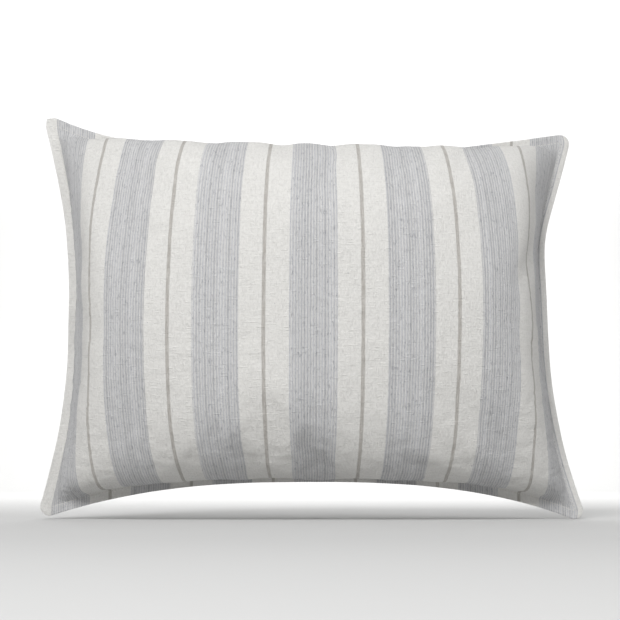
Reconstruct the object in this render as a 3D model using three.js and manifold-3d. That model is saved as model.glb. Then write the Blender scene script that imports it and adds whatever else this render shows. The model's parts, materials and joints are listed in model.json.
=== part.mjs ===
// Throw pillow: a striped cover with a narrow self flange and a zip across the lower back,
// closed over a stuffed insert. Millimetres, +Z up, the front face looks towards -Y.
import * as THREE from "three";
import Module from "manifold-3d";
import { mergeVertices } from "three/addons/utils/BufferGeometryUtils.js";

// The finished cover, laid flat.
const COVER_WIDTH = 610;
const COVER_HEIGHT = 457;
const FLANGE_WIDTH = 9.5;

// The stuffing draws the corners together, pulls the edges in between them and rounds the faces.
const DRAWN_IN_ACROSS = 0.861;
const DRAWN_IN_UP = 0.838;
const STUFFED_WIDTH = COVER_WIDTH * DRAWN_IN_ACROSS;
const STUFFED_HEIGHT = COVER_HEIGHT * DRAWN_IN_UP;
const SIDE_SAG = 28;
const SIDE_FLARE = 2.4;
const EDGE_SAG = 34;
const EDGE_FLARE = 2.6;
const FULLNESS = 2.7;
const FRONT_DEPTH = 110;
const BACK_DEPTH = 102;
const FRONT_CROWN = 1;
const BACK_CROWN = 0.975; // the back is pressed flat where the pillow lies or leans

// Thicknesses, and the space left between one layer and the next.
const CLOTH = 1.2;
const CASING = 1;
const LABEL = 0.4;
const HALF_SPLIT = 0.5; // half the gap between the front and the back of the cover
const CLEARANCE = 0.3;
const LABEL_INSET = 2.2;
const INSERT_LABEL_INSET = 5;
const INSERT_INSET = 9;
const FILL_GAP = 1.2;
const FILL_INSET = INSERT_INSET + CASING + FILL_GAP;

// Threads have a flat section, so that they lie on the cloth.
const THREAD_WIDTH = 0.8;
const THREAD_HEIGHT = 0.5;
const EDGE_THREAD_HEIGHT = 0.4;
const TOPSTITCH_MARGIN = 1.1; // from the topstitching to the seam beside it
const EDGE_SEAM_INSET = 1;

// How finely the faces are divided, and the zip along its length.
const COLUMNS = 24;
const ROWS = 16;
const ROWS_BELOW_ZIP = 6;
const ROWS_ABOVE_ZIP = 12;
const INSERT_COARSENESS = 2; // the insert takes every second grid line
const ZIP_STEPS = 18;
const CARE_LABEL_ROW = 7;
const INSERT_LABEL_ROW = 10;
const LABEL_COLUMNS = 4;
const LABEL_ROWS = 2;
const FACE_SEARCH_PASSES = 12;

// The zip lies along an arc round an upright axis. Its pieces are given by how far they lie
// along it from its middle, across it from its chain, and out from the face of its tape.
const ZIP_HALF_LENGTH = 178;
const ZIP_HEIGHT = -118; // from the middle of the pillow
const ZIP_TILT = THREE.MathUtils.degToRad(38);
const ZIP_LIFT = 1.2; // how far the arc is pushed out, so that it fits the face along its whole length
const ZIP_OPENING = 5.5; // from the middle of the chain to the folded edge of the cloth
const ZIP_MARGIN = 18; // the edges stay that far apart past the end of the chain
const ZIP_CLOSING = 24; // the length in which they come together after that
const TAPE_HALF_WIDTH = 11.5;
const TAPE_THICKNESS = 0.5;
const TAPE_TAIL = 6; // past the end of the chain
const TAPE_FOLD = 5; // the tape is flat as far as this from the middle of the chain
const TAPE_DROP = 5; // how far its outer edge lies below that
const CHAIN_GAP = 0.7;
const TAPE_GAP = 0.9;
const COIL_OUTER = 2.9;
const COIL_HEIGHT = 1.4;
const COIL_TOP = CLEARANCE + COIL_HEIGHT;
const STOP_LENGTH = 2.6;
const ZIP_CLOTH_TOP = CLEARANCE + CLOTH;
const ZIP_STITCH = 6.4;
const ZIP_STITCH_LIFT = 0.7;
const BAR_TACK_WIDTH = 1.6;
const BAR_TACK_HALF_LENGTH = 7;
const BAR_TACK_MARGIN = 2; // past the end of the chain

// The slider wraps the chain, and its pull tab swings in a bail on top of it.
const SLIDER_LENGTH = 9;
const SLIDER_REST = -ZIP_HALF_LENGTH + STOP_LENGTH + CLEARANCE + SLIDER_LENGTH / 2;
const SLIDER_HALF_WIDTH = 3.9;
const SLIDER_PLATE = 0.8;
const SLIDER_FLANGE = 0.7;
const SLIDER_TOP = COIL_TOP + CLEARANCE + SLIDER_PLATE;
const SLIDER_BOTTOM = -TAPE_THICKNESS - CLEARANCE - SLIDER_PLATE;
const NECK_LENGTH = 1.6;
const NECK_WIDTH = 0.8;
const BAIL_LENGTH = 5.2;
const BAIL_WIDTH = 1.8;
const BAIL_HEIGHT = 3.1;
const BAIL_WIRE = 0.9;
const TAB_PIVOT_LIFT = 1.1;
const TAB_PIVOT_OUT = SLIDER_TOP + TAB_PIVOT_LIFT;
const TAB_PIVOT_BAR = 0.5;
const TAB_WINDOW_START = TAB_PIVOT_BAR;
const TAB_WINDOW_END = 3.7;
const TAB_WINDOW_HALF_WIDTH = 1.5;
const TAB_HALF_WIDTH = 2.7;
const TAB_LENGTH = 22;
const TAB_THICKNESS = 1;
const TAB_CORNER = 1.2;
const TAB_ARC_STEPS = 6;
const TAB_REST_TILT = THREE.MathUtils.degToRad(3);

const wasm = await Module();
wasm.setup();

// Half the distance between the side edges at height v, on a line that lies inset
// inside the outer edge of the flange. v runs from -1 at the bottom to 1 at the top.
function halfWidth(v, inset) {
  return STUFFED_WIDTH / 2 - inset - SIDE_SAG * (1 - Math.abs(v) ** SIDE_FLARE);
}

// The same between the top and bottom edges, where u runs from -1 at the left to 1 at the right.
function halfHeight(u, inset) {
  return STUFFED_HEIGHT / 2 - inset - EDGE_SAG * (1 - Math.abs(u) ** EDGE_FLARE);
}

// How far a face stands out, from 0 on its seam to 1 at its crown.
function bulge(u, v) {
  return Math.sqrt((1 - Math.abs(u) ** FULLNESS) * (1 - Math.abs(v) ** FULLNESS));
}

// A layer of the front or the back: sign is -1 in front, inset is where its seam lies,
// rise is its distance from the middle plane there, and depth is what the bulge adds.
function layer(sign, inset, rise) {
  const depth = sign < 0 ? FRONT_DEPTH : BACK_DEPTH;
  const crown = sign < 0 ? FRONT_CROWN : BACK_CROWN;
  return { sign, crown, rise, inset: FLANGE_WIDTH + inset, depth: depth - inset };
}

const COVER_OUTSIDE = 0;
const COVER_RISE = HALF_SPLIT + CLOTH;

// A point of a layer. A column or row that is on the flange lies on its outer edge.
function layerPoint(column, row, { sign, crown, rise, inset, depth }) {
  const x = column.u * halfWidth(row.v, column.onFlange ? 0 : inset);
  const z = row.v * halfHeight(column.u, row.onFlange ? 0 : inset);
  const out = rise + depth * Math.min(bulge(column.u, row.v), crown);
  return new THREE.Vector3(x, sign * out, z);
}

// Grid lines crowd together towards the seams, where the faces curve most.
function gridLine(step, steps) {
  return Math.sin(Math.PI * (step / steps - 0.5));
}

function faceColumns(steps) {
  const lines = [];
  for (let i = 0; i <= steps; i += 1) {
    lines.push({ u: gridLine(i, steps), onFlange: false });
  }
  return lines;
}

function faceRows(steps) {
  const lines = [];
  for (let j = 0; j <= steps; j += 1) {
    lines.push({ v: gridLine(j, steps), onFlange: false });
  }
  return lines;
}

// The cover's grid lines have one more at each end, on the outer edge of the flange.
function withFlange(lines) {
  const first = { ...lines[0], onFlange: true };
  const last = { ...lines[lines.length - 1], onFlange: true };
  return [first, ...lines, last];
}

// Turns the faces of a closed geometry outwards.
function faceOutward(geometry) {
  const index = geometry.index.array;
  const position = geometry.attributes.position;
  const a = new THREE.Vector3();
  const b = new THREE.Vector3();
  const c = new THREE.Vector3();
  let volume = 0;
  for (let i = 0; i < index.length; i += 3) {
    a.fromBufferAttribute(position, index[i]);
    b.fromBufferAttribute(position, index[i + 1]);
    c.fromBufferAttribute(position, index[i + 2]);
    volume += a.dot(b.cross(c));
  }
  if (volume < 0) {
    index.reverse();
  }
  geometry.computeVertexNormals();
  return geometry;
}

// A sheet with thickness: outer and inner give the points of its two faces on a grid,
// and a strip of walls joins them all the way round. A ring has no first and last column.
function sheetGeometry(columns, rows, outer, inner, ring = false) {
  const points = [];
  for (const face of [outer, inner]) {
    for (let j = 0; j < rows; j += 1) {
      for (let i = 0; i < columns; i += 1) {
        points.push(face(i, j));
      }
    }
  }
  const at = (face, i, j) => face * columns * rows + j * columns + (i % columns);
  const index = [];
  const quad = (a, b, c, d) => index.push(a, b, c, a, c, d);
  const spans = ring ? columns : columns - 1;
  for (let j = 0; j < rows - 1; j += 1) {
    for (let i = 0; i < spans; i += 1) {
      quad(at(0, i, j), at(0, i + 1, j), at(0, i + 1, j + 1), at(0, i, j + 1));
      quad(at(1, i, j), at(1, i, j + 1), at(1, i + 1, j + 1), at(1, i + 1, j));
    }
  }
  for (let i = 0; i < spans; i += 1) {
    const top = rows - 1;
    quad(at(0, i, 0), at(1, i, 0), at(1, i + 1, 0), at(0, i + 1, 0));
    quad(at(0, i, top), at(0, i + 1, top), at(1, i + 1, top), at(1, i, top));
  }
  for (let j = 0; j < rows - 1 && !ring; j += 1) {
    const end = columns - 1;
    quad(at(0, 0, j), at(0, 0, j + 1), at(1, 0, j + 1), at(1, 0, j));
    quad(at(0, end, j), at(1, end, j), at(1, end, j + 1), at(0, end, j + 1));
  }
  const geometry = new THREE.BufferGeometry().setFromPoints(points);
  geometry.setIndex(index);
  return faceOutward(geometry);
}

// A sheet between two layers, over the given grid lines.
function layeredSheet(columns, rows, outside, inside) {
  return sheetGeometry(
    columns.length,
    rows.length,
    (i, j) => layerPoint(columns[i], rows[j], outside),
    (i, j) => layerPoint(columns[i], rows[j], inside),
  );
}

function mesh(name, geometry, material) {
  const made = new THREE.Mesh(geometry, material);
  made.name = name;
  return made;
}

const finishes = {
  stripe: new THREE.MeshStandardMaterial({ color: 0xd2d3d3, roughness: 0.95, metalness: 0 }),
  thread: new THREE.MeshStandardMaterial({ color: 0xe9e8e4, roughness: 0.8, metalness: 0 }),
  tape: new THREE.MeshStandardMaterial({ color: 0xe4e2dc, roughness: 0.9, metalness: 0 }),
  coil: new THREE.MeshStandardMaterial({ color: 0xdedbd2, roughness: 0.45, metalness: 0 }),
  metal: new THREE.MeshStandardMaterial({ color: 0xb9b7b2, roughness: 0.35, metalness: 1 }),
  label: new THREE.MeshStandardMaterial({ color: 0xf4f3ef, roughness: 0.7, metalness: 0 }),
  casing: new THREE.MeshStandardMaterial({ color: 0xf0efeb, roughness: 0.9, metalness: 0 }),
  fill: new THREE.MeshStandardMaterial({ color: 0xf6f5f2, roughness: 1, metalness: 0 }),
};

// Where the outside of the back stands at a given place across and up.
function backDepthAt(x, z) {
  const outside = layer(1, COVER_OUTSIDE, COVER_RISE);
  let u = 0;
  let v = 0;
  for (let pass = 0; pass < FACE_SEARCH_PASSES; pass += 1) {
    u = x / halfWidth(v, outside.inset);
    v = z / halfHeight(u, outside.inset);
  }
  return layerPoint({ u }, { v }, outside).y;
}

// The arc goes through the face of the back at the middle and at both ends of the zip.
const zipSagitta = backDepthAt(0, ZIP_HEIGHT) - backDepthAt(ZIP_HALF_LENGTH, ZIP_HEIGHT);
const zipRadius = (ZIP_HALF_LENGTH ** 2 + zipSagitta ** 2) / (2 * zipSagitta);
const zipFaceDepth = backDepthAt(0, ZIP_HEIGHT) - ZIP_CLOTH_TOP * Math.cos(ZIP_TILT);
const zipAxisY = zipFaceDepth + ZIP_LIFT - zipRadius;

// A point of the zip: along is the distance from its middle, across is upwards on its
// face, and out is away from the face of its tape.
function zipPoint(along, across, out) {
  const angle = Math.asin(along / zipRadius);
  const radius = zipRadius + across * Math.sin(ZIP_TILT) + out * Math.cos(ZIP_TILT);
  return new THREE.Vector3(
    radius * Math.sin(angle),
    zipAxisY + radius * Math.cos(angle),
    ZIP_HEIGHT + across * Math.cos(ZIP_TILT) - out * Math.sin(ZIP_TILT),
  );
}

// Places a piece whose own X is along the zip towards its closed end, which is on the
// left, Y is up across it and Z is out of it.
function placeOnZip(piece, along) {
  const angle = Math.asin(along / zipRadius);
  const x = new THREE.Vector3(-Math.cos(angle), Math.sin(angle), 0);
  const radial = new THREE.Vector3(Math.sin(angle), Math.cos(angle), 0);
  const up = new THREE.Vector3(0, 0, 1);
  const y = radial.clone().multiplyScalar(Math.sin(ZIP_TILT));
  y.addScaledVector(up, Math.cos(ZIP_TILT));
  const z = new THREE.Vector3().crossVectors(x, y);
  piece.setRotationFromMatrix(new THREE.Matrix4().makeBasis(x, y, z));
  piece.position.copy(zipPoint(along, 0, 0));
  return piece;
}

// The front of the cover, with its own layer of the flange.
function coverFrontPanel() {
  const columns = withFlange(faceColumns(COLUMNS));
  const rows = withFlange(faceRows(ROWS));
  const outside = layer(-1, COVER_OUTSIDE, COVER_RISE);
  const inside = layer(-1, CLOTH, HALF_SPLIT);
  return mesh("cover_front_panel", layeredSheet(columns, rows, outside, inside), finishes.stripe);
}

// The edge of a back panel along the zip. It follows the zip as far as its tape does, and
// past that it turns into the face of the back, where the two panels are seamed together.
function zipEdgePoint(column, upper, surface, out) {
  const sign = upper ? 1 : -1;
  const v = (ZIP_HEIGHT + sign * CLEARANCE) / halfHeight(column.u, surface.inset);
  const onFace = layerPoint(column, { v }, surface);
  const past = Math.abs(onFace.x) - ZIP_HALF_LENGTH - ZIP_MARGIN;
  const turn = THREE.MathUtils.smoothstep(past, 0, ZIP_CLOSING);
  if (turn === 1) {
    return onFace;
  }
  return zipPoint(onFace.x, sign * ZIP_OPENING, out).lerp(onFace, turn);
}

// One half of the cover's back, from the zip down to the bottom flange or up to the top one.
function coverBackPanel(name, upper) {
  const steps = upper ? ROWS_ABOVE_ZIP : ROWS_BELOW_ZIP;
  const columns = withFlange(faceColumns(COLUMNS));
  const edge = upper ? Math.PI / 2 : -Math.PI / 2;
  const surfaces = [layer(1, COVER_OUTSIDE, COVER_RISE), layer(1, CLOTH, HALF_SPLIT)];
  const outs = [ZIP_CLOTH_TOP, CLEARANCE];
  const point = (face) => (i, j) => {
    const column = columns[i];
    const surface = surfaces[face];
    if (j === 0) {
      return zipEdgePoint(column, upper, surface, outs[face]);
    }
    const start = Math.asin(ZIP_HEIGHT / halfHeight(column.u, surface.inset));
    const share = Math.min(j / steps, 1);
    const v = share === 1 ? Math.sign(edge) : Math.sin(start + share * (edge - start));
    return layerPoint(column, { v, onFlange: j > steps }, surface);
  };
  const geometry = sheetGeometry(columns.length, steps + 2, point(0), point(1));
  return mesh(name, geometry, finishes.stripe);
}

// A loop of thread that runs round the pillow beside the seam, inset from the flange's
// outer edge, with its faces at the distances low and high from the middle plane.
function threadLoop(name, inset, low, high, coarseness = 1) {
  const across = faceColumns(COLUMNS / coarseness).map((line) => line.u);
  const up = faceRows(ROWS / coarseness).map((line) => line.v);
  const loop = [
    ...across.slice(0, -1).map((u) => [u, -1]),
    ...up.slice(0, -1).map((v) => [1, v]),
    ...across.slice(1).reverse().map((u) => [u, 1]),
    ...up.slice(1).reverse().map((v) => [-1, v]),
  ];
  const side = (depth) => (i, j) => {
    const [u, v] = loop[i];
    const edge = inset + j * THREAD_WIDTH;
    return new THREE.Vector3(u * halfWidth(v, edge), depth, v * halfHeight(u, edge));
  };
  const geometry = sheetGeometry(loop.length, 2, side(low), side(high), true);
  return mesh(name, geometry, finishes.thread);
}

// The flange is held by one line of lockstitch beside the seam, so its needle thread shows
// in front and its bobbin thread behind. A hidden seam joins the cloth along the outer edge.
function coverThreads() {
  const stitchInset = FLANGE_WIDTH - THREAD_WIDTH - TOPSTITCH_MARGIN;
  const low = COVER_RISE + CLEARANCE;
  const high = low + THREAD_HEIGHT;
  const half = EDGE_THREAD_HEIGHT / 2;
  return [
    threadLoop("flange_needle_thread", stitchInset, -high, -low),
    threadLoop("flange_bobbin_thread", stitchInset, low, high),
    threadLoop("cover_edge_seam_thread", EDGE_SEAM_INSET, -half, half),
  ];
}

// The insert: a cotton casing of two panels, its closing seam and one body of filling.
function insert() {
  const columns = faceColumns(COLUMNS / INSERT_COARSENESS);
  const rows = faceRows(ROWS / INSERT_COARSENESS);
  const names = { [-1]: "insert_casing_front", 1: "insert_casing_back" };
  const casing = (sign) => {
    const outside = layer(sign, INSERT_INSET, HALF_SPLIT + CASING);
    const inside = layer(sign, INSERT_INSET + CASING, HALF_SPLIT);
    return mesh(names[sign], layeredSheet(columns, rows, outside, inside), finishes.casing);
  };
  const front = layer(-1, FILL_INSET, HALF_SPLIT);
  const back = layer(1, FILL_INSET, HALF_SPLIT);
  const seamInset = FLANGE_WIDTH + INSERT_INSET - CLEARANCE - THREAD_WIDTH;
  const half = EDGE_THREAD_HEIGHT / 2;
  return [
    casing(-1),
    casing(1),
    threadLoop("insert_seam_thread", seamInset, -half, half, INSERT_COARSENESS),
    mesh("insert_fill", layeredSheet(columns, rows, front, back), finishes.fill),
  ];
}

// A small label sewn into a side seam at the back, between the cover and the insert.
function label(name, firstColumn, firstRow, inset) {
  const columns = faceColumns(COLUMNS).slice(firstColumn, firstColumn + LABEL_COLUMNS);
  const rows = faceRows(ROWS).slice(firstRow, firstRow + LABEL_ROWS);
  const outside = layer(1, inset, HALF_SPLIT + LABEL);
  const inside = layer(1, inset + LABEL, HALF_SPLIT);
  return mesh(name, layeredSheet(columns, rows, outside, inside), finishes.label);
}

// A strip that follows the zip. Its section is a list of places across the zip, each with
// how far it lies below the strip's levels, which are the distances out of its two faces.
function zipStrip(name, halfLength, section, levels, material) {
  const along = (i) => halfLength * ((2 * i) / ZIP_STEPS - 1);
  const face = (level) => (i, j) => zipPoint(along(i), section[j].across, level - section[j].drop);
  const geometry = sheetGeometry(ZIP_STEPS + 1, section.length, face(levels[0]), face(levels[1]));
  return mesh(name, geometry, material);
}

// A small block on the zip, given by where it starts and ends along, across and out.
function zipBlock(name, along, across, out, material) {
  const size = [along[1] - along[0], across[1] - across[0], out[1] - out[0]];
  const block = new THREE.BoxGeometry(...size);
  block.translate(0, (across[0] + across[1]) / 2, (out[0] + out[1]) / 2);
  return placeOnZip(mesh(name, block, material), (along[0] + along[1]) / 2);
}

// One side of the zip: its tape, its coil, and the row of stitches that holds the tape
// under the folded edge of the cloth.
function zipSide(suffix, sign) {
  const section = (...places) => places.map(([across, drop]) => ({ across: sign * across, drop }));
  const flat = (near, far) => section([near, 0], [far, 0]);
  const tape = section([TAPE_GAP, 0], [TAPE_FOLD, 0], [TAPE_HALF_WIDTH, TAPE_DROP]);
  const coil = flat(CHAIN_GAP, COIL_OUTER);
  const stitch = flat(ZIP_STITCH, ZIP_STITCH + THREAD_WIDTH);
  const stitchLow = ZIP_CLOTH_TOP + ZIP_STITCH_LIFT;
  const stitchLevels = [stitchLow, stitchLow + THREAD_HEIGHT];
  const coilLevels = [CLEARANCE, COIL_TOP];
  const chainEnd = ZIP_HALF_LENGTH - STOP_LENGTH - CLEARANCE;
  const tapeEnd = ZIP_HALF_LENGTH + TAPE_TAIL;
  const stopSpan = [-ZIP_HALF_LENGTH, -ZIP_HALF_LENGTH + STOP_LENGTH];
  const stopWidth = sign > 0 ? [CHAIN_GAP, COIL_OUTER] : [-COIL_OUTER, -CHAIN_GAP];
  return [
    zipStrip(`zip_tape_${suffix}`, tapeEnd, tape, [-TAPE_THICKNESS, 0], finishes.tape),
    zipStrip(`zip_coil_${suffix}`, chainEnd, coil, coilLevels, finishes.coil),
    zipStrip(`zip_stitch_${suffix}`, ZIP_HALF_LENGTH, stitch, stitchLevels, finishes.thread),
    zipBlock(`zip_top_stop_${suffix}`, stopSpan, stopWidth, coilLevels, finishes.metal),
  ];
}

// What closes the two ends of the zip: the stop where it starts, and a bar tack at each end.
function zipEnds() {
  const stopSpan = [ZIP_HALF_LENGTH - STOP_LENGTH, ZIP_HALF_LENGTH];
  const stopWidth = [-COIL_OUTER, COIL_OUTER];
  const tackWidth = [-BAR_TACK_HALF_LENGTH, BAR_TACK_HALF_LENGTH];
  const tackLow = ZIP_CLOTH_TOP + ZIP_STITCH_LIFT;
  const tackLevels = [tackLow, tackLow + THREAD_HEIGHT];
  const tackStart = ZIP_HALF_LENGTH + BAR_TACK_MARGIN;
  const tack = (name, side) => {
    const ends = [side * tackStart, side * (tackStart + BAR_TACK_WIDTH)].sort((a, b) => a - b);
    return zipBlock(name, ends, tackWidth, tackLevels, finishes.thread);
  };
  return [
    zipBlock("zip_bottom_stop", stopSpan, stopWidth, [CLEARANCE, COIL_TOP], finishes.metal),
    tack("zip_bar_tack_left", -1),
    tack("zip_bar_tack_right", 1),
  ];
}

function toSolid(geometry) {
  const bare = geometry.clone();
  bare.deleteAttribute("normal");
  bare.deleteAttribute("uv");
  const merged = mergeVertices(bare);
  return new wasm.Manifold(
    new wasm.Mesh({
      numProp: 3,
      vertProperties: merged.attributes.position.array,
      triVerts: new Uint32Array(merged.index.array),
    }),
  );
}

function fromSolid(solid) {
  const made = solid.getMesh();
  const geometry = new THREE.BufferGeometry();
  geometry.setAttribute("position", new THREE.BufferAttribute(made.vertProperties, 3));
  geometry.setIndex(new THREE.BufferAttribute(made.triVerts, 1));
  geometry.computeVertexNormals();
  return geometry;
}

// A box between two corners, each [along, across, out].
function boxBetween(low, high) {
  const box = new THREE.BoxGeometry(high[0] - low[0], high[1] - low[1], high[2] - low[2]);
  return box.translate((low[0] + high[0]) / 2, (low[1] + high[1]) / 2, (low[2] + high[2]) / 2);
}

// The slider: a top plate with a flange down each side of the chain, a bottom plate under
// the tapes, the neck that joins them between the two coils, and the bail.
function zipSliderBody() {
  const end = SLIDER_LENGTH / 2;
  const wide = SLIDER_HALF_WIDTH;
  const plateLow = SLIDER_TOP - SLIDER_PLATE;
  const bottomHigh = SLIDER_BOTTOM + SLIDER_PLATE;
  const bailEnd = BAIL_LENGTH / 2;
  const bailTop = SLIDER_TOP + BAIL_HEIGHT;
  const halfBail = BAIL_WIDTH / 2;
  const inWindow = bailEnd - BAIL_WIRE;
  const parts = [
    boxBetween([-end, -wide, SLIDER_BOTTOM], [end, wide, bottomHigh]),
    boxBetween([-end, -wide, CLEARANCE], [end, -wide + SLIDER_FLANGE, SLIDER_TOP]),
    boxBetween([-end, wide - SLIDER_FLANGE, CLEARANCE], [end, wide, SLIDER_TOP]),
    boxBetween([end - NECK_LENGTH, -NECK_WIDTH / 2, SLIDER_BOTTOM], [end, NECK_WIDTH / 2, SLIDER_TOP]),
    boxBetween([-bailEnd, -halfBail, plateLow], [-inWindow, halfBail, bailTop]),
    boxBetween([inWindow, -halfBail, plateLow], [bailEnd, halfBail, bailTop]),
    boxBetween([-bailEnd, -halfBail, bailTop - BAIL_WIRE], [bailEnd, halfBail, bailTop]),
  ];
  let solid = toSolid(boxBetween([-end, -wide, plateLow], [end, wide, SLIDER_TOP]));
  for (const part of parts) {
    solid = solid.add(toSolid(part));
  }
  return placeOnZip(mesh("zip_slider_body", fromSolid(solid), finishes.metal), SLIDER_REST);
}

// The pull tab: a flat plate with a window at one end, whose end bar swings in the bail.
function zipPullTab() {
  const outline = new THREE.Shape();
  const start = -TAB_PIVOT_BAR;
  outline.moveTo(start, -TAB_HALF_WIDTH + TAB_CORNER);
  outline.quadraticCurveTo(start, -TAB_HALF_WIDTH, start + TAB_CORNER, -TAB_HALF_WIDTH);
  outline.lineTo(TAB_LENGTH - TAB_HALF_WIDTH, -TAB_HALF_WIDTH);
  outline.absarc(TAB_LENGTH - TAB_HALF_WIDTH, 0, TAB_HALF_WIDTH, -Math.PI / 2, Math.PI / 2, false);
  outline.lineTo(start + TAB_CORNER, TAB_HALF_WIDTH);
  outline.quadraticCurveTo(start, TAB_HALF_WIDTH, start, TAB_HALF_WIDTH - TAB_CORNER);
  outline.closePath();
  const window = new THREE.Path();
  window.moveTo(TAB_WINDOW_START, -TAB_WINDOW_HALF_WIDTH);
  window.lineTo(TAB_WINDOW_START, TAB_WINDOW_HALF_WIDTH);
  window.lineTo(TAB_WINDOW_END, TAB_WINDOW_HALF_WIDTH);
  window.lineTo(TAB_WINDOW_END, -TAB_WINDOW_HALF_WIDTH);
  window.closePath();
  outline.holes.push(window);
  const plate = new THREE.ExtrudeGeometry(outline, {
    depth: TAB_THICKNESS,
    bevelEnabled: false,
    curveSegments: TAB_ARC_STEPS,
  });
  plate.translate(0, 0, -TAB_THICKNESS / 2);
  plate.rotateY(TAB_REST_TILT);
  plate.rotateZ(Math.PI);
  plate.translate(0, 0, TAB_PIVOT_OUT);
  return placeOnZip(mesh("zip_pull_tab", plate, finishes.metal), SLIDER_REST);
}

const pillow = new THREE.Group();
pillow.add(
  coverFrontPanel(),
  coverBackPanel("cover_back_panel_upper", true),
  coverBackPanel("cover_back_panel_lower", false),
  ...coverThreads(),
  ...insert(),
  label("cover_care_label", 0, CARE_LABEL_ROW, LABEL_INSET),
  label("insert_label", COLUMNS + 1 - LABEL_COLUMNS, INSERT_LABEL_ROW, INSERT_LABEL_INSET),
  ...zipSide("upper", 1),
  ...zipSide("lower", -1),
  ...zipEnds(),
  zipSliderBody(),
  zipPullTab(),
);

// The origin is under the middle of the pillow, which stands on its two bottom corners.
const frontReach = COVER_RISE + FRONT_DEPTH;
const backReach = COVER_RISE + BACK_DEPTH * BACK_CROWN;
pillow.position.set(0, (frontReach - backReach) / 2, STUFFED_HEIGHT / 2);

export default pillow;
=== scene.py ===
import json
import math

import bpy
import numpy as np
from mathutils import Matrix, Vector, noise


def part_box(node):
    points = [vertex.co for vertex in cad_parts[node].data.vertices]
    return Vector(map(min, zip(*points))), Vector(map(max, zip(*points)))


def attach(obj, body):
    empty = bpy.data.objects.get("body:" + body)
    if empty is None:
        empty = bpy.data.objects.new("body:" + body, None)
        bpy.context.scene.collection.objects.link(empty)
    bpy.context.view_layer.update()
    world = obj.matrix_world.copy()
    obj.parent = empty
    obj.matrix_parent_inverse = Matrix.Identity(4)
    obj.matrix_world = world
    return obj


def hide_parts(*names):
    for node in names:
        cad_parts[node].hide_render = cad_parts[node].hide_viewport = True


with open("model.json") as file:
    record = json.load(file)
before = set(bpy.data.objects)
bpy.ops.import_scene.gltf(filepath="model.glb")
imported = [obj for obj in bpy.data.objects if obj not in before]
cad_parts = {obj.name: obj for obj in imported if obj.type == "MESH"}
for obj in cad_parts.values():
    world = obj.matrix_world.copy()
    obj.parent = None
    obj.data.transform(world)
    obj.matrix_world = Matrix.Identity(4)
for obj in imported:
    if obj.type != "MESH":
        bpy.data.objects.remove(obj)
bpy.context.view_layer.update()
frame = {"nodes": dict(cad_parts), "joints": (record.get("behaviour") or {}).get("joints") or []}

# ---------------------------------------------------------------------------------------
# The filling: one body of loose white fibre. The shape that it gives the whole pillow is
# set here: the seams are drawn in between the corners and both faces are rounded up.
# ---------------------------------------------------------------------------------------
front_low, front_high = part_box("cover_front_panel")
seam_low, seam_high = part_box("cover_edge_seam_thread")
HALF_WIDTH = (front_high.x - front_low.x) / 2
HALF_HEIGHT = (front_high.z - front_low.z) / 2
MIDDLE_Y = (seam_low.y + seam_high.y) / 2
MIDDLE_Z = (front_high.z + front_low.z) / 2
FLANGE = 0.0095
LEFT_SAG = 0.028
RIGHT_SAG = 0.034
RIGHT_WAIST = (0.0055, 0.42, 0.24)  # how deep, how high up and how wide the waist on the right is
SIDE_FLARE = 2.4
TOP_SAG = 0.029
BOTTOM_SAG = 0.035
EDGE_FLARE = 2.6
FULLNESS = 2.7
INSERT_FULLNESS_UP = 2.0
FRONT_DEPTH = MIDDLE_Y - front_low.y
BACK_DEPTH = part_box("cover_back_panel_upper")[1].y - MIDDLE_Y
# How far each corner is pulled out of square, across and up: (left or right, bottom or top).
CORNER_PULL = {
    (-1, 1): (0.002, 0.007),
    (1, 1): (-0.010, -0.010),
    (-1, -1): (0.004, 0.003),
    (1, -1): (-0.004, 0.0),
}
CORNER_REACH = 5

FILL_GRID = (92, 66)
FILL_HALF_CUT = (0.28, 0.2)
FILL_INSET = 0.0145
FILL_DEPTH_LOSS = 0.022
FILL_LUMP = 0.0035
FILL_LUMP_SIZE = 0.045
FILL_TUFT = 0.0012
FILL_TUFT_SIZE = 0.009


def outline(u, v, inset_x, inset_z):
    """Where a seam coordinate lies: u and v run from -1 to 1 between the edges."""
    side_sag = np.where(u > 0, RIGHT_SAG, LEFT_SAG)
    edge_sag = np.where(v > 0, TOP_SAG, BOTTOM_SAG)
    deep, high, wide = RIGHT_WAIST
    waist = deep * np.clip(u, 0, 1) ** 2 * np.exp(-(((v - high) / wide) ** 2))
    x = u * (HALF_WIDTH - inset_x - side_sag * (1 - np.abs(v) ** SIDE_FLARE)) - waist
    z = v * (HALF_HEIGHT - inset_z - edge_sag * (1 - np.abs(u) ** EDGE_FLARE))
    for (side, level), (pull_x, pull_z) in CORNER_PULL.items():
        weight = (np.clip(side * u, 0, 1) * np.clip(level * v, 0, 1)) ** CORNER_REACH
        x = x + weight * pull_x
        z = z + weight * pull_z
    return x, z


def bulge(u, v, fullness_up=FULLNESS):
    """How far a face stands out, from 0 on its seam to 1 at its crown."""
    return np.sqrt(np.clip((1 - np.abs(u) ** FULLNESS) * (1 - np.abs(v) ** fullness_up), 0, 1))


def in_place(x, y, z):
    """Points given from the pillow's middle, moved to where the pillow stands."""
    return np.stack([x, y + MIDDLE_Y, z + MIDDLE_Z], axis=-1)


def linked(made):
    """Puts a new object into the scene."""
    bpy.context.scene.collection.objects.link(made)
    return made


def smooth_mesh(name, points, faces):
    """An object with smooth faces, from its points and the corners of each face."""
    mesh = bpy.data.meshes.new(name)
    mesh.from_pydata(points.reshape(-1, 3).tolist(), [], faces)
    mesh.polygons.foreach_set("use_smooth", np.ones(len(faces), bool))
    mesh.update()
    return linked(bpy.data.objects.new(name, mesh))


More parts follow.
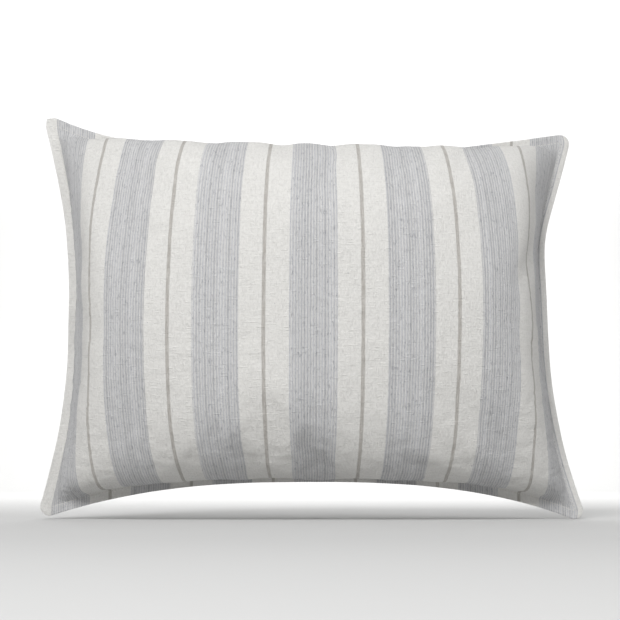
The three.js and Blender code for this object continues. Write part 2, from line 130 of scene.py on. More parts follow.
def grid_faces(index):
    """The four corners of each cell of a grid of point numbers."""
    corners = [index[:-1, :-1], index[:-1, 1:], index[1:, 1:], index[1:, :-1]]
    return np.stack(corners, axis=-1).reshape(-1, 4)


def cloth_mesh(name, points, cut):
    """A mesh on a grid of points, rows first, with the flat cut as its UV map in metres."""
    faces = grid_faces(np.arange(points[..., 0].size).reshape(points.shape[:2]))
    made = smooth_mesh(name, points, faces.tolist())
    layer = made.data.uv_layers.new(name="Cut")
    layer.data.foreach_set("uv", cut.reshape(-1, 2)[faces.reshape(-1)].astype(np.float32).ravel())
    return made


def turned_out(piece):
    """Flips a closed piece whose faces point inwards."""
    mesh = piece.data
    volume = 0.0
    for face in mesh.polygons:
        volume += face.center.dot(face.normal) * face.area
    if volume < 0:
        mesh.flip_normals()
    return piece


def add_modifier(piece, kind, **settings):
    """Adds a modifier with its settings."""
    modifier = piece.modifiers.new(kind.lower(), kind)
    for setting, value in settings.items():
        setattr(modifier, setting, value)
    return modifier


def apply_modifiers(piece):
    """Makes what the modifiers give the piece's own mesh."""
    bpy.context.view_layer.update()
    seen = piece.evaluated_get(bpy.context.evaluated_depsgraph_get())
    made = bpy.data.meshes.new_from_object(seen)
    piece.modifiers.clear()
    piece.data = made


def push_out(piece, distance):
    """Moves each point of a piece along its normal by distance(point)."""
    mesh = piece.data
    normals = [Vector(n.vector) for n in mesh.vertex_normals]
    for vertex, normal in zip(mesh.vertices, normals):
        vertex.co += normal * distance(vertex.co)
    mesh.update()


def finish_piece(piece, body, slot, material, *nodes):
    """Gives a piece its material and its body, and hides the CAD nodes that it replaces. The slot is not
    used.
    """
    piece.data.materials.clear()
    piece.data.materials.append(material)
    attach(piece, body)
    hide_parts(*nodes)


def crowded(count):
    """Grid lines from -1 to 1 that crowd together towards both ends."""
    return np.sin(np.linspace(-math.pi / 2, math.pi / 2, count + 1))


def work_out(tree, operation, *values):
    """One step of arithmetic in a material. Each value is a number or another step."""
    node = tree.nodes.new("ShaderNodeMath")
    node.operation = operation
    for socket, value in zip(node.inputs, values):
        if isinstance(value, bpy.types.NodeSocket):
            tree.links.new(value, socket)
        else:
            socket.default_value = value
    return node.outputs[0]


def scaled(tree, vector, x, y, z=1):
    """A vector stretched by a number along each axis."""
    node = tree.nodes.new("ShaderNodeVectorMath")
    node.operation = "MULTIPLY"
    tree.links.new(vector, node.inputs[0])
    node.inputs[1].default_value = (x, y, z)
    return node.outputs[0]


def mottle(tree, vector, scale=1.0, detail=2.0, roughness=0.5):
    """Soft noise about 0.5 over a vector."""
    node = tree.nodes.new("ShaderNodeTexNoise")
    tree.links.new(vector, node.inputs["Vector"])
    node.inputs["Scale"].default_value = scale
    node.inputs["Detail"].default_value = detail
    node.inputs["Roughness"].default_value = roughness
    return node.outputs["Fac"]


def blended(tree, share, low, high):
    """A colour between two others. Each is a colour or another step."""
    node = tree.nodes.new("ShaderNodeMix")
    node.data_type = "RGBA"
    tree.links.new(share, node.inputs[0])
    for socket, colour in ((node.inputs[6], low), (node.inputs[7], high)):
        if isinstance(colour, bpy.types.NodeSocket):
            tree.links.new(colour, socket)
        else:
            socket.default_value = (*colour, 1)
    return node.outputs[2]


def between(tree, value, low, high, out_low=0.0, out_high=1.0):
    """0 to 1 as value goes from low to high, with soft ends, or between two other numbers."""
    node = tree.nodes.new("ShaderNodeMapRange")
    node.interpolation_type = "SMOOTHSTEP"
    tree.links.new(value, node.inputs["Value"])
    node.inputs["From Min"].default_value = low
    node.inputs["From Max"].default_value = high
    node.inputs["To Min"].default_value = out_low
    node.inputs["To Max"].default_value = out_high
    return node.outputs["Result"]


def new_material(name, roughness, sheen=0.0, metallic=0.0):
    """A material with its shader, and the tree to work in."""
    material = bpy.data.materials.new(name)
    material.use_nodes = True
    shader = material.node_tree.nodes["Principled BSDF"]
    shader.inputs["Roughness"].default_value = roughness
    shader.inputs["Sheen Weight"].default_value = sheen
    shader.inputs["Sheen Roughness"].default_value = 0.5
    shader.inputs["Metallic"].default_value = metallic
    return material, material.node_tree, shader


def colour_between(tree, shader, share, low, high):
    """Colours a material between two colours."""
    tree.links.new(blended(tree, share, low, high), shader.inputs["Base Color"])


def raise_relief(tree, shader, height, depth, strength=1.0):
    """Feeds a height to the shader as relief. Depth is in metres."""
    node = tree.nodes.new("ShaderNodeBump")
    node.inputs["Distance"].default_value = depth
    node.inputs["Strength"].default_value = strength
    tree.links.new(height, node.inputs["Height"])
    tree.links.new(node.outputs["Normal"], shader.inputs["Normal"])


def cut_place(tree):
    """The place on the flat cut, in metres."""
    node = tree.nodes.new("ShaderNodeUVMap")
    node.uv_map = "Cut"
    return node.outputs["UV"]


FIBRE_WHITE = (0.80, 0.79, 0.765)
FIBRE_SHADE = (0.62, 0.61, 0.58)
filling, tree, shader = new_material("fibre", 0.95, sheen=0.3)
place = cut_place(tree)
tufts = mottle(tree, scaled(tree, place, 90, 90), detail=4, roughness=0.65)
strands = mottle(tree, scaled(tree, place, 1400, 160), detail=3)
colour_between(tree, shader, tufts, FIBRE_SHADE, FIBRE_WHITE)
raise_relief(tree, shader, work_out(tree, "ADD", tufts, work_out(tree, "MULTIPLY", strands, 0.4)), 0.004)


def stuffed_face(side, inset, depth, grid, half_cut):
    """One face of a stuffed shape, on a grid: its points, and its cut flattened out."""
    columns, rows = grid
    u, v = np.meshgrid(crowded(columns), crowded(rows))
    x, z = outline(u, v, inset + FLANGE, inset + FLANGE)
    y = side * depth * bulge(u, v, INSERT_FULLNESS_UP)
    cut_u, cut_v = np.meshgrid(np.linspace(-1, 1, columns + 1), np.linspace(-1, 1, rows + 1))
    cut = np.stack([cut_u * half_cut[0], cut_v * half_cut[1]], axis=-1)
    return in_place(x, y, z), cut


fill_faces = []
for side, depth in ((-1, FRONT_DEPTH), (1, BACK_DEPTH)):
    points, cut = stuffed_face(side, FILL_INSET, depth - FILL_DEPTH_LOSS, FILL_GRID, FILL_HALF_CUT)
    fill_faces.append(cloth_mesh("fill_face", points, cut))
fill = fill_faces[0]
with bpy.context.temp_override(active_object=fill, selected_editable_objects=fill_faces):
    bpy.ops.object.join()
fill.name = "fibre_fill"
add_modifier(fill, "WELD", merge_threshold=0.0002)
apply_modifiers(fill)
turned_out(fill)


def fibre_lumps(point):
    """How far the filling's lumps and tufts stand out at a point."""
    lump = noise.noise(point / FILL_LUMP_SIZE) * FILL_LUMP
    return lump + noise.noise(point / FILL_TUFT_SIZE) * FILL_TUFT


push_out(fill, fibre_lumps)
finish_piece(fill, "pillow", "filling", filling, "insert_fill")

# ---------------------------------------------------------------------------------------
# The insert's casing: two panels of plain white cambric, sewn together round the edge and
# stretched over the filling, with small puckers along the seam.
# ---------------------------------------------------------------------------------------
CASING_GRID = (100, 72)
CASING_INSET = 0.012
CASING_DEPTH_LOSS = 0.0175
CASING_THICKNESS = 0.0004
CASING_CUT = (0.56, 0.41)
CASING_PUCKER = 0.0011
CASING_PUCKER_SIZE = 0.007
CASING_PUCKER_REACH = 0.06  # inwards from the seam, as a share of the half width or height
CAMBRIC_WHITE = (0.80, 0.79, 0.77)
CAMBRIC_SHADE = (0.70, 0.69, 0.67)


def weave_group():
    """Plain weave: warp and weft threads that pass over and under each other, with slubs."""
    group = bpy.data.node_groups.new("plain_weave", "ShaderNodeTree")
    for name, kind in (("Cut", "Vector"), ("Threads per metre", "Float"), ("Slubs", "Float")):
        group.interface.new_socket(name, in_out="INPUT", socket_type=f"NodeSocket{kind}")
    for name in ("Height", "Weave shading"):
        group.interface.new_socket(name, in_out="OUTPUT", socket_type="NodeSocketFloat")
    taken = group.nodes.new("NodeGroupInput").outputs
    given = group.nodes.new("NodeGroupOutput").inputs
    parts = group.nodes.new("ShaderNodeSeparateXYZ")
    group.links.new(taken["Cut"], parts.inputs[0])
    across = work_out(group, "MULTIPLY", parts.outputs[0], taken["Threads per metre"])
    along = work_out(group, "MULTIPLY", parts.outputs[1], taken["Threads per metre"])

    def thread(own, other, turn):
        turned = work_out(group, "SINE", work_out(group, "MULTIPLY", own, math.pi))
        ridge = work_out(group, "ABSOLUTE", turned)
        phase = work_out(group, "ADD", work_out(group, "FLOOR", own), other)
        wave = work_out(group, "COSINE", work_out(group, "MULTIPLY_ADD", phase, math.pi, turn))
        return work_out(group, "MULTIPLY", ridge, work_out(group, "MULTIPLY_ADD", wave, 0.35, 0.65))

    warp = thread(across, along, -math.pi / 2)
    weft = thread(along, across, math.pi / 2)
    slub_warp = mottle(group, scaled(group, taken["Cut"], 700, 110), detail=2)
    slub_weft = mottle(group, scaled(group, taken["Cut"], 120, 760), detail=2)
    thick_warp = between(group, slub_warp, 0.5, 0.75)
    thick_weft = between(group, slub_weft, 0.5, 0.75)
    slubs = work_out(group, "MAXIMUM", thick_warp, thick_weft)
    thick = work_out(group, "MULTIPLY", slubs, taken["Slubs"])
    threads = work_out(group, "MAXIMUM", warp, weft)
    group.links.new(work_out(group, "ADD", threads, thick), given["Height"])
    # Painted shading of the weave: lighter on the threads' crowns and darker in the gaps between them.
    group.links.new(work_out(group, "MULTIPLY_ADD", threads, 0.5, 0.5), given["Weave shading"])
    return group


plain_weave = weave_group()


def weave_in(tree, place, threads_per_metre, slubs):
    """The weave of one cloth: its height, and how much light its threads catch."""
    node = tree.nodes.new("ShaderNodeGroup")
    node.node_tree = plain_weave
    tree.links.new(place, node.inputs["Cut"])
    node.inputs["Threads per metre"].default_value = threads_per_metre
    node.inputs["Slubs"].default_value = slubs
    return node.outputs["Height"], node.outputs["Weave shading"]


cambric, tree, shader = new_material("cambric", 0.9, sheen=0.1)
place = cut_place(tree)
height, weave_shading = weave_in(tree, place, 2400, 0.15)
# Painted shade: the cambric is darker in the gaps between its threads, mixed with a random mottle.
mottled_share = work_out(tree, "MULTIPLY", weave_shading, mottle(tree, scaled(tree, place, 25, 25), detail=4))
colour_between(tree, shader, between(tree, mottled_share, 0.1, 0.45), CAMBRIC_SHADE, CAMBRIC_WHITE)
raise_relief(tree, shader, height, 0.00015)


def seam_distance(u, v):
    """0 on the seam, growing inwards, as a share of the half width or height."""
    return 1 - max(abs(u), abs(v))


for side, depth, name in ((-1, FRONT_DEPTH, "front"), (1, BACK_DEPTH, "back")):
    half_cut = (CASING_CUT[0] / 2, CASING_CUT[1] / 2)
    points, cut = stuffed_face(side, CASING_INSET, depth - CASING_DEPTH_LOSS, CASING_GRID, half_cut)
    for j, i in np.ndindex(points.shape[:2]):
        u, v = cut[j, i] / half_cut
        inward = seam_distance(u, v)
        near = math.exp(-inward / CASING_PUCKER_REACH)
        edge_place = cut[j, i, 0] if abs(v) > abs(u) else cut[j, i, 1]
        pucker = noise.noise(Vector((edge_place / CASING_PUCKER_SIZE, side * 3.1, 0))) * near
        points[j, i, 1] += side * (CASING_THICKNESS + CASING_PUCKER * pucker * min(1, 20 * inward))
    if side > 0:
        points, cut = points[:, ::-1], cut[:, ::-1]
    casing = cloth_mesh(f"casing_{name}_cloth", points, cut)
    add_modifier(casing, "SOLIDIFY", thickness=CASING_THICKNESS, offset=-1)
    finish_piece(casing, "pillow", "casing_cloth", cambric, f"insert_casing_{name}")

# The seam that closes the casing: one line of lockstitch in white thread along its edge.
CASING_SEAM_FROM_EDGE = 0.0004
CASING_STITCH = 0.0028
CASING_THREAD = 0.00022
THREAD_WHITE = (0.74, 0.73, 0.70)
THREAD_SHADE = (0.55, 0.54, 0.51)
STITCH_RINGS = 6
STITCH_SIDES = 6

spun_thread, tree, shader = new_material("spun_thread", 0.75, sheen=0.2)
place = tree.nodes.new("ShaderNodeTexCoord").outputs["Object"]
plies = mottle(tree, scaled(tree, place, 3000, 3000, 3000), detail=2)
colour_between(tree, shader, between(tree, plies, 0.35, 0.6), THREAD_SHADE, THREAD_WHITE)
raise_relief(tree, shader, plies, 0.00008)


def stitches(name, starts, ends, outs, radius, lift):
    """Separate stitches, each a short bent thread from one needle hole to the next."""
    along = ends - starts
    length = np.linalg.norm(along, axis=1, keepdims=True)
    along = along / length
    outs = outs - along * np.sum(outs * along, axis=1, keepdims=True)
    outs = outs / np.linalg.norm(outs, axis=1, keepdims=True)
    beside = np.cross(along, outs)
    points = []
    for ring in range(STITCH_RINGS):
        share = ring / (STITCH_RINGS - 1)
        arch = math.sin(math.pi * share)
        centre = starts + along * length * share + outs * (lift * arch ** 0.5 - radius)
        thick = radius * (0.35 + 0.65 * arch ** 0.4)
        for step in range(STITCH_SIDES):
            angle = 2 * math.pi * step / STITCH_SIDES
            points.append(centre + thick * (outs * math.sin(angle) + beside * math.cos(angle)))
    points = np.stack(points, axis=1)
    count = STITCH_RINGS * STITCH_SIDES
    faces = []
    for ring in range(STITCH_RINGS - 1):
        for step in range(STITCH_SIDES):
            a = ring * STITCH_SIDES + step
            b = ring * STITCH_SIDES + (step + 1) % STITCH_SIDES
            faces.append([a, b, b + STITCH_SIDES, a + STITCH_SIDES])
    ends_of_one = [list(range(STITCH_SIDES))[::-1], list(range(count - STITCH_SIDES, count))]
    all_faces = []
    for stitch in range(len(starts)):
        all_faces += [[stitch * count + corner for corner in face] for face in faces + ends_of_one]
    return turned_out(smooth_mesh(name, points, all_faces))


def spaced_line(points, spacing, fill=0.86):
    """Where stitches start and end along a line of points, at an even spacing."""
    gaps = np.linalg.norm(np.diff(points, axis=0), axis=1)
    along = np.concatenate([[0], np.cumsum(gaps)])
    count = int(along[-1] / spacing)
    marks = np.arange(count) * along[-1] / count

    def at(distance):
        return np.stack([np.interp(distance, along, points[:, k]) for k in range(3)], axis=1)

    return at(marks), at(marks + spacing * fill)


def sewn_line(name, node, line, spacing, side, radius, lift=1):
    """One line of lockstitch on the front or the back, arching up by so many radii."""
    starts, ends = spaced_line(line, spacing)
    outs = np.tile([0.0, float(side), 0.0], (len(starts), 1))
    row = stitches(name, starts, ends, outs, radius, radius * lift)
    finish_piece(row, "pillow", "cover_thread", spun_thread, node)


def edge_loop(inset, y, count=220):
    """A closed line round the pillow, inset from the flange's outer edge."""
    run = np.linspace(-1, 1, count + 1)[:-1]
    ones = np.ones(count)
    u = np.concatenate([run, ones, -run, -ones])
    v = np.concatenate([-ones, run, ones, -run])
    x, z = outline(u, v, inset, inset)
    points = in_place(x, np.full(len(u), y), z)
    return np.concatenate([points, points[:1]])


casing_line = edge_loop(FLANGE + CASING_INSET + CASING_SEAM_FROM_EDGE, 0.0)
sewn_line("casing_seam_stitches", "insert_seam_thread", casing_line, CASING_STITCH, -1, CASING_THREAD)

# ---------------------------------------------------------------------------------------
# The cover's cloth: a yarn-dyed plain weave of cotton and linen, cut flat, sewn all round
# and blown up by the filling. The seams and the zip hold it, and the cloth finds its folds.
# ---------------------------------------------------------------------------------------
COVER_CUT = (0.610, 0.457)
SEAM_CUT = (COVER_CUT[0] / 2 - FLANGE, COVER_CUT[1] / 2 - FLANGE)
CELL = 0.0066
ZIP_CUT = 0.080  # from the bottom seam up to the zip, on the flat cloth
ZIP_OPENING = 0.0055  # from the middle of the chain to the folded edge of the cloth
ZIP_HELD = 0.192  # half the length along which the zip holds the cloth, on the flat cloth
ZIP_EASE = 0.98  # the cloth is eased onto the zip by this much
ZIP_TILT = math.radians(38)
TAPE_FOLD = 0.005
ZIP_FACE = 0.0015  # the outside of the cloth beside the zip, above the face of the tapes
COVER_THICKNESS = 0.0006
FLANGE_RISE = 0.0008
GIVE_ACROSS = (0.975, 0.905)  # how much of its cut length the cloth takes up, in the middle
GIVE_UP = (1.0, 0.905)  # and along the seams, where the stitches ease it in
CLOTH_WEIGHT = 0.3
FRAMES = 36
DRAW_IN_FRAMES = 14
PRESSURE = 12
PACKED_TOP = 0.020
PACKED_BOTTOM = 0.008
PACKED_LEFT = -0.017
PACKED_RIGHT = -0.018
PACKED_FROM = 0.050  # as far out of the middle as that, the face is pushed in full
SMOOTHINGS = 16

zip_joint = next(joint for joint in frame["joints"] if joint["name"] == "zip_slider_travel")
zip_axis = Vector(zip_joint["pos_m"])
zip_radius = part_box("zip_tape_upper")[1].y - zip_axis.y - TAPE_FOLD * math.sin(ZIP_TILT)


def zip_point(along, across, out):
    """A point of the zip: along from its middle, across upwards, out from its tapes."""
    angle = np.arcsin(along / zip_radius)
    radius = zip_radius + across * math.sin(ZIP_TILT) + out * math.cos(ZIP_TILT)
    height = zip_axis.z + across * math.cos(ZIP_TILT) - out * math.sin(ZIP_TILT)
    level = height + 0 * angle
    return np.stack([radius * np.sin(angle), zip_axis.y + radius * np.cos(angle), level], axis=-1)


column_count = 2 * round(SEAM_CUT[0] / CELL)
rows_below = round((ZIP_CUT - ZIP_OPENING) / CELL)
rows_above = round((2 * SEAM_CUT[1] - ZIP_CUT - ZIP_OPENING) / CELL)
cut_columns = np.linspace(-SEAM_CUT[0], SEAM_CUT[0], column_count + 1)
lower_rows = np.linspace(0, ZIP_CUT - ZIP_OPENING, rows_below + 1)
upper_rows = np.linspace(ZIP_CUT + ZIP_OPENING, 2 * SEAM_CUT[1], rows_above + 1)
cut_rows = np.concatenate([lower_rows, [ZIP_CUT], upper_rows]) - SEAM_CUT[1]
zip_row = rows_below + 1
cut_x, cut_z = np.meshgrid(cut_columns, cut_rows)
even_u = cut_x / SEAM_CUT[0]
even_v = cut_z / SEAM_CUT[1]


def drawn_over(share, half, depth):
    """Where a point of cloth lies across the face when the cloth is laid over its curve."""
    across = crowded(400)
    out = depth * np.sqrt(1 - np.abs(across) ** FULLNESS)
    run = np.concatenate([[0], np.cumsum(np.hypot(np.diff(across * half), np.diff(out)))])
    return np.interp(share, run / run[-1] * 2 - 1, across)


def laid_over(side, depth):
    """The cloth laid over the rounded shape, before it has any folds."""
    to_seam_u = np.abs(even_v) ** 6
    to_seam_v = np.abs(even_u) ** 6
    u = drawn_over(even_u, HALF_WIDTH - FLANGE - LEFT_SAG, depth)
    v = drawn_over(even_v, HALF_HEIGHT - FLANGE - BOTTOM_SAG, depth)
    on_edge = np.maximum(np.abs(even_u), np.abs(even_v)) >= 1 - 1e-9
    u = np.where(on_edge, even_u, u + (even_u - u) * to_seam_u)
    v = np.where(on_edge, even_v, v + (even_v - v) * to_seam_v)
    x, z = outline(u, v, FLANGE, FLANGE)
    return in_place(x, side * depth * bulge(u, v), z)


laid = {-1: laid_over(-1, FRONT_DEPTH), 1: laid_over(1, BACK_DEPTH)}
held_columns = np.abs(cut_columns) <= ZIP_HELD
held_by_zip = np.zeros(cut_x.shape, bool)
for step in (-2, -1, 0, 1, 2):
    held_by_zip[zip_row + step] = held_columns
    eased = cut_columns[held_columns] * ZIP_EASE
    laid[1][zip_row + step, held_columns] = zip_point(eased, step * ZIP_OPENING, ZIP_FACE)

on_seam = np.zeros(cut_x.shape, bool)
on_seam[[0, -1], :] = True
on_seam[:, [0, -1]] = True
front_index = np.arange(cut_x.size).reshape(cut_x.shape)
back_index = front_index.copy()
back_index[~on_seam] = np.arange(cut_x.size, cut_x.size + np.count_nonzero(~on_seam))


def blown_up():
    """Sews the two flat cuts together, draws the seam in and blows the cloth up by pressure.
    Returns each point's place, the front's first."""
    ripple = 1 + 0.3 * np.sin(np.arange(cut_x.size).reshape(cut_x.shape) * 1.3)
    lift = np.where(on_seam, 0, 0.002) * ripple
    eased_x = cut_x * (GIVE_ACROSS[0] + (GIVE_ACROSS[1] - GIVE_ACROSS[0]) * np.abs(even_v) ** 2)
    eased_z = cut_z * (GIVE_UP[0] + (GIVE_UP[1] - GIVE_UP[0]) * np.abs(even_u) ** 2)
    flat = {side: in_place(eased_x, side * lift, eased_z) for side in (-1, 1)}
    start = np.concatenate([flat[-1].reshape(-1, 3), flat[1][~on_seam]])
    drawn_in = np.concatenate([laid[-1].reshape(-1, 3), laid[1][~on_seam]])
    faces = []
    for index, turn in ((front_index, 1), (back_index, -1)):
        faces += grid_faces(index)[:, ::turn].tolist()
    mesh = bpy.data.meshes.new("cloth_being_blown_up")
    mesh.from_pydata(start.tolist(), [], faces)
    cloth = linked(bpy.data.objects.new("cloth_being_blown_up", mesh))
    held = cloth.vertex_groups.new(name="held")
    pinned = np.concatenate([front_index[on_seam], back_index[held_by_zip]])
    held.add([int(point) for point in pinned], 1.0, "REPLACE")
    cloth.shape_key_add(name="flat")
    key = cloth.shape_key_add(name="drawn_in")
    key.data.foreach_set("co", drawn_in.astype(np.float32).ravel())
    key.value = 0
    key.keyframe_insert("value", frame=1)
    key.value = 1
    key.keyframe_insert("value", frame=DRAW_IN_FRAMES)
    modifier = add_modifier(cloth, "CLOTH")
    settings = modifier.settings
    settings.quality = 6
    settings.mass = CLOTH_WEIGHT * 4 * SEAM_CUT[0] * SEAM_CUT[1] * 2 / len(start)
    settings.tension_stiffness = 70
    settings.compression_stiffness = 6
    settings.shear_stiffness = 5
    settings.bending_stiffness = 1.0
    settings.tension_damping = 6
    settings.compression_damping = 6
    settings.shear_damping = 6
    settings.air_damping = 1
    settings.use_pressure = True
    settings.uniform_pressure_force = PRESSURE
    settings.vertex_group_mass = "held"
    settings.pin_stiffness = 50
    settings.effector_weights.gravity = 0
    modifier.collision_settings.use_collision = False
    scene = bpy.context.scene
    scene.frame_start = 1
    scene.frame_end = FRAMES
    modifier.point_cache.frame_start = 1
    modifier.point_cache.frame_end = FRAMES
    for step in range(1, FRAMES + 1):
        scene.frame_set(step)
    seen = cloth.evaluated_get(bpy.context.evaluated_depsgraph_get())
    found = np.empty(len(start) * 3, np.float32)
    seen.data.vertices.foreach_get("co", found)
    scene.frame_set(1)
    bpy.data.objects.remove(cloth)
    return found.reshape(-1, 3).astype(float)


def packed_out(face):
    """Pushes a face out over the upper and lower seams, where the filling is packed into the
    edges, draws it in at the sides and pulls the small folds there smooth."""
    face = face.copy()
    ease_up = 0.5 * np.abs(even_u[1:-1, 1:-1, None]) ** 3
    ease_across = 0.25 * np.abs(even_v[1:-1, 1:-1, None]) ** 4
    for _ in range(SMOOTHINGS):
        inner = face[1:-1, 1:-1]
        upright = (face[:-2, 1:-1] + face[2:, 1:-1]) / 2 - inner
        level = (face[1:-1, :-2] + face[1:-1, 2:]) / 2 - inner
        face[1:-1, 1:-1] = inner + upright * ease_up + level * ease_across
    out = np.abs(face[..., 1] - MIDDLE_Y)
    share = np.clip(out / PACKED_FROM, 0, 1)
    share = share * share * (3 - 2 * share)
    push_x = np.where(even_u > 0, PACKED_RIGHT, PACKED_LEFT) * share * np.abs(even_u) ** 3
    push_x = push_x * np.clip(1.15 + even_v, 0.2, 1)
    push_z = np.where(even_v > 0, PACKED_TOP, PACKED_BOTTOM) * share * np.abs(even_v) ** 2
    face[..., 0] += np.sign(even_u) * push_x
    face[..., 2] += np.sign(even_v) * push_z
    return face


cloth_points = blown_up()
front_face = packed_out(cloth_points[front_index])
back_face = cloth_points[back_index]

# The colours of the yarn, and the stripes: sizes in millimetres on the flat cloth.
GROUND = (0.80, 0.79, 0.765)
GROUND_SHADE = (0.70, 0.69, 0.665)
SLATE = (0.355, 0.363, 0.395)
SLATE_PALE = (0.515, 0.523, 0.555)
SLATE_DARK = (0.17, 0.18, 0.215)
TAUPE = (0.40, 0.375, 0.345)
STRIPE_SHIFT = -3.2
STRIPE_REPEAT = 91.5
STRIPE_HALF = 22.3
PIN_HALF = 1.75
LINE_REPEAT = 2.72
WARP_THREADS = 1150

striped_cloth, tree, shader = new_material("striped_cloth", 0.92, sheen=0.12)
place = cut_place(tree)
millimetres = scaled(tree, place, 1000, 1000)
parts = tree.nodes.new("ShaderNodeSeparateXYZ")
tree.links.new(millimetres, parts.inputs[0])
sway = mottle(tree, scaled(tree, millimetres, 0.5, 0.035), detail=2)
across = work_out(tree, "ADD", parts.outputs[0], work_out(tree, "ADD", sway, STRIPE_SHIFT - 0.5))
from_stripe = work_out(tree, "PINGPONG", across, STRIPE_REPEAT / 2)
stripe = between(tree, from_stripe, STRIPE_HALF + 0.35, STRIPE_HALF - 0.35)
from_pin = work_out(tree, "SUBTRACT", STRIPE_REPEAT / 2, from_stripe)
pin = between(tree, from_pin, PIN_HALF + 0.35, PIN_HALF - 0.35)
line_count = work_out(tree, "DIVIDE", across, LINE_REPEAT)
line_wave = work_out(tree, "COSINE", work_out(tree, "MULTIPLY", line_count, 2 * math.pi))
line = between(tree, line_wave, -0.55, 0.35)
line_tone = tree.nodes.new("ShaderNodeTexWhiteNoise")
line_tone.noise_dimensions = "1D"
tree.links.new(work_out(tree, "ROUND", line_count), line_tone.inputs["W"])
heather = mottle(tree, scaled(tree, millimetres, 1.1, 0.09), detail=3, roughness=0.6)
heathered = work_out(tree, "MULTIPLY", heather, 0.9)
yarn_tone = work_out(tree, "MULTIPLY_ADD", line_tone.outputs["Value"], 0.5, heathered)
yarn = blended(tree, between(tree, yarn_tone, 0.35, 1.0), SLATE, SLATE_PALE)
slub_noise = mottle(tree, scaled(tree, millimetres, 0.52, 0.15), detail=3, roughness=0.7)
slub = between(tree, slub_noise, 0.56, 0.68)
ground_tone = mottle(tree, scaled(tree, millimetres, 0.45, 0.3), detail=4, roughness=0.7)
streaks = mottle(tree, scaled(tree, millimetres, 0.03, 0.9), detail=3)
ground_share = work_out(tree, "MULTIPLY_ADD", ground_tone, 0.7, work_out(tree, "MULTIPLY", streaks, 0.3))
ground = blended(tree, between(tree, ground_share, 0.3, 0.6), GROUND_SHADE, GROUND)
line_share = work_out(tree, "MULTIPLY", stripe, work_out(tree, "MULTIPLY_ADD", line, 0.40, 0.34))
cloth_colour = blended(tree, line_share, ground, yarn)
slub_share = work_out(tree, "MULTIPLY", work_out(tree, "MULTIPLY", slub, stripe), 0.5)
cloth_colour = blended(tree, slub_share, cloth_colour, SLATE_DARK)
pin_heather = between(tree, heather, 0.2, 0.75, 0.45, 0.95)
cloth_colour = blended(tree, work_out(tree, "MULTIPLY", pin, pin_heather), cloth_colour, TAUPE)
specks = tree.nodes.new("ShaderNodeTexVoronoi")
tree.links.new(scaled(tree, millimetres, 1, 0.7), specks.inputs["Vector"])
specks.inputs["Scale"].default_value = 0.055
speck = between(tree, specks.outputs["Distance"], 0.045, 0.02)
cloth_colour = blended(tree, work_out(tree, "MULTIPLY", speck, 0.45), cloth_colour, SLATE_DARK)
height, weave_shading = weave_in(tree, place, WARP_THREADS, 0.9)
# Painted shade: the weave's shading darkens the yarn's colour in the gaps between the threads.
shade = tree.nodes.new("ShaderNodeMix")
shade.data_type = "RGBA"
shade.blend_type = "MULTIPLY"
shade.inputs[0].default_value = 0.35
tree.links.new(cloth_colour, shade.inputs[6])
tree.links.new(weave_shading, shade.inputs[7])
tree.links.new(shade.outputs[2], shader.inputs["Base Color"])
nubs = work_out(tree, "MULTIPLY", ground_tone, 2.4)
ribs = work_out(tree, "MULTIPLY", work_out(tree, "MULTIPLY", line, stripe), 0.5)
relief = work_out(tree, "ADD", work_out(tree, "ADD", height, ribs), nubs)
raise_relief(tree, shader, relief, 0.00036)

# ---------------------------------------------------------------------------------------
# The cover's panels: the front, and the back in two parts either side of the zip. Round
# each runs the flange, where front and back lie flat on each other, stitched along its
# inner edge, and the zip's edges are folded under.
# ---------------------------------------------------------------------------------------
FLANGE_LINES = (0.0019, 0.0045, 0.0080, FLANGE)  # outward from the seam
FACE_COLUMNS = slice(len(FLANGE_LINES), -len(FLANGE_LINES))  # a panel's columns within its flange
FLANGE_WAVE = 0.0016
SHORT_WAVE = 0.0135
LONG_WAVE = 0.031
# How round the corners are turned, from 0 to 1, to the left or right, at the bottom or top.
CORNER_BLUNT = {(-1, 1): 0.4, (1, 1): 1.0, (-1, -1): 1.0, (1, -1): 0.9}
CREASE = 0.0010
CREASE_SIZE = (0.030, 0.011)
CREASE_SHARPNESS = 9
CREASE_BEND = 1.5
CREASE_BENDS_PER_METRE = 22
CREASE_SEED = 7
PUCKER = 0.0013
PUCKER_SIZE = 0.0085
PUCKER_REACH = 0.016
PUCKER_START = 0.003
SMOOTH_BY_ZIP = 0.007
CREASED_BY_ZIP = 0.027
# The fold beside the zip: how far each line lies towards the zip, and how deep under the face.
HEM = ((0.0006, 0.0006), (0.0004, 0.0011), (-0.003, 0.0012), (-0.007, 0.0012))
HEM_STEP = 0.0012
HEM_RUN_OUT = 0.03


def flange_wave(along, side):
    """How far the flange waves forwards or back at a place along one of its sides."""
    short_wave = 0.5 * math.sin(along / SHORT_WAVE + side)
    return short_wave + 0.8 * math.sin(along / LONG_WAVE + 2 * side)


def edge_point(x_cut, z_cut, rise):
    """A point of the seam or the flange from its place on the flat cut."""
    beyond_x = max(0.0, abs(x_cut) - SEAM_CUT[0])
    beyond_z = max(0.0, abs(z_cut) - SEAM_CUT[1])
    u = max(-1.0, min(1.0, x_cut / SEAM_CUT[0]))
    v = max(-1.0, min(1.0, z_cut / SEAM_CUT[1]))
    share = max(beyond_x, beyond_z) / FLANGE
    blunt = CORNER_BLUNT[(-1 if u < 0 else 1, -1 if v < 0 else 1)] / (2 * FLANGE**2)
    out_x = beyond_x * math.sqrt(1 - blunt * beyond_z**2)
    out_z = beyond_z * math.sqrt(1 - blunt * beyond_x**2)
    x, z = outline(np.array(u), np.array(v), FLANGE - out_x, FLANGE - out_z)
    calm = 1 - min(abs(u), abs(v)) ** 4
    if beyond_x > beyond_z:
        wave = flange_wave(z_cut, math.copysign(1, u))
    else:
        wave = flange_wave(x_cut, math.copysign(2, v))
    return in_place(x, rise + FLANGE_WAVE * share * calm * wave, z)


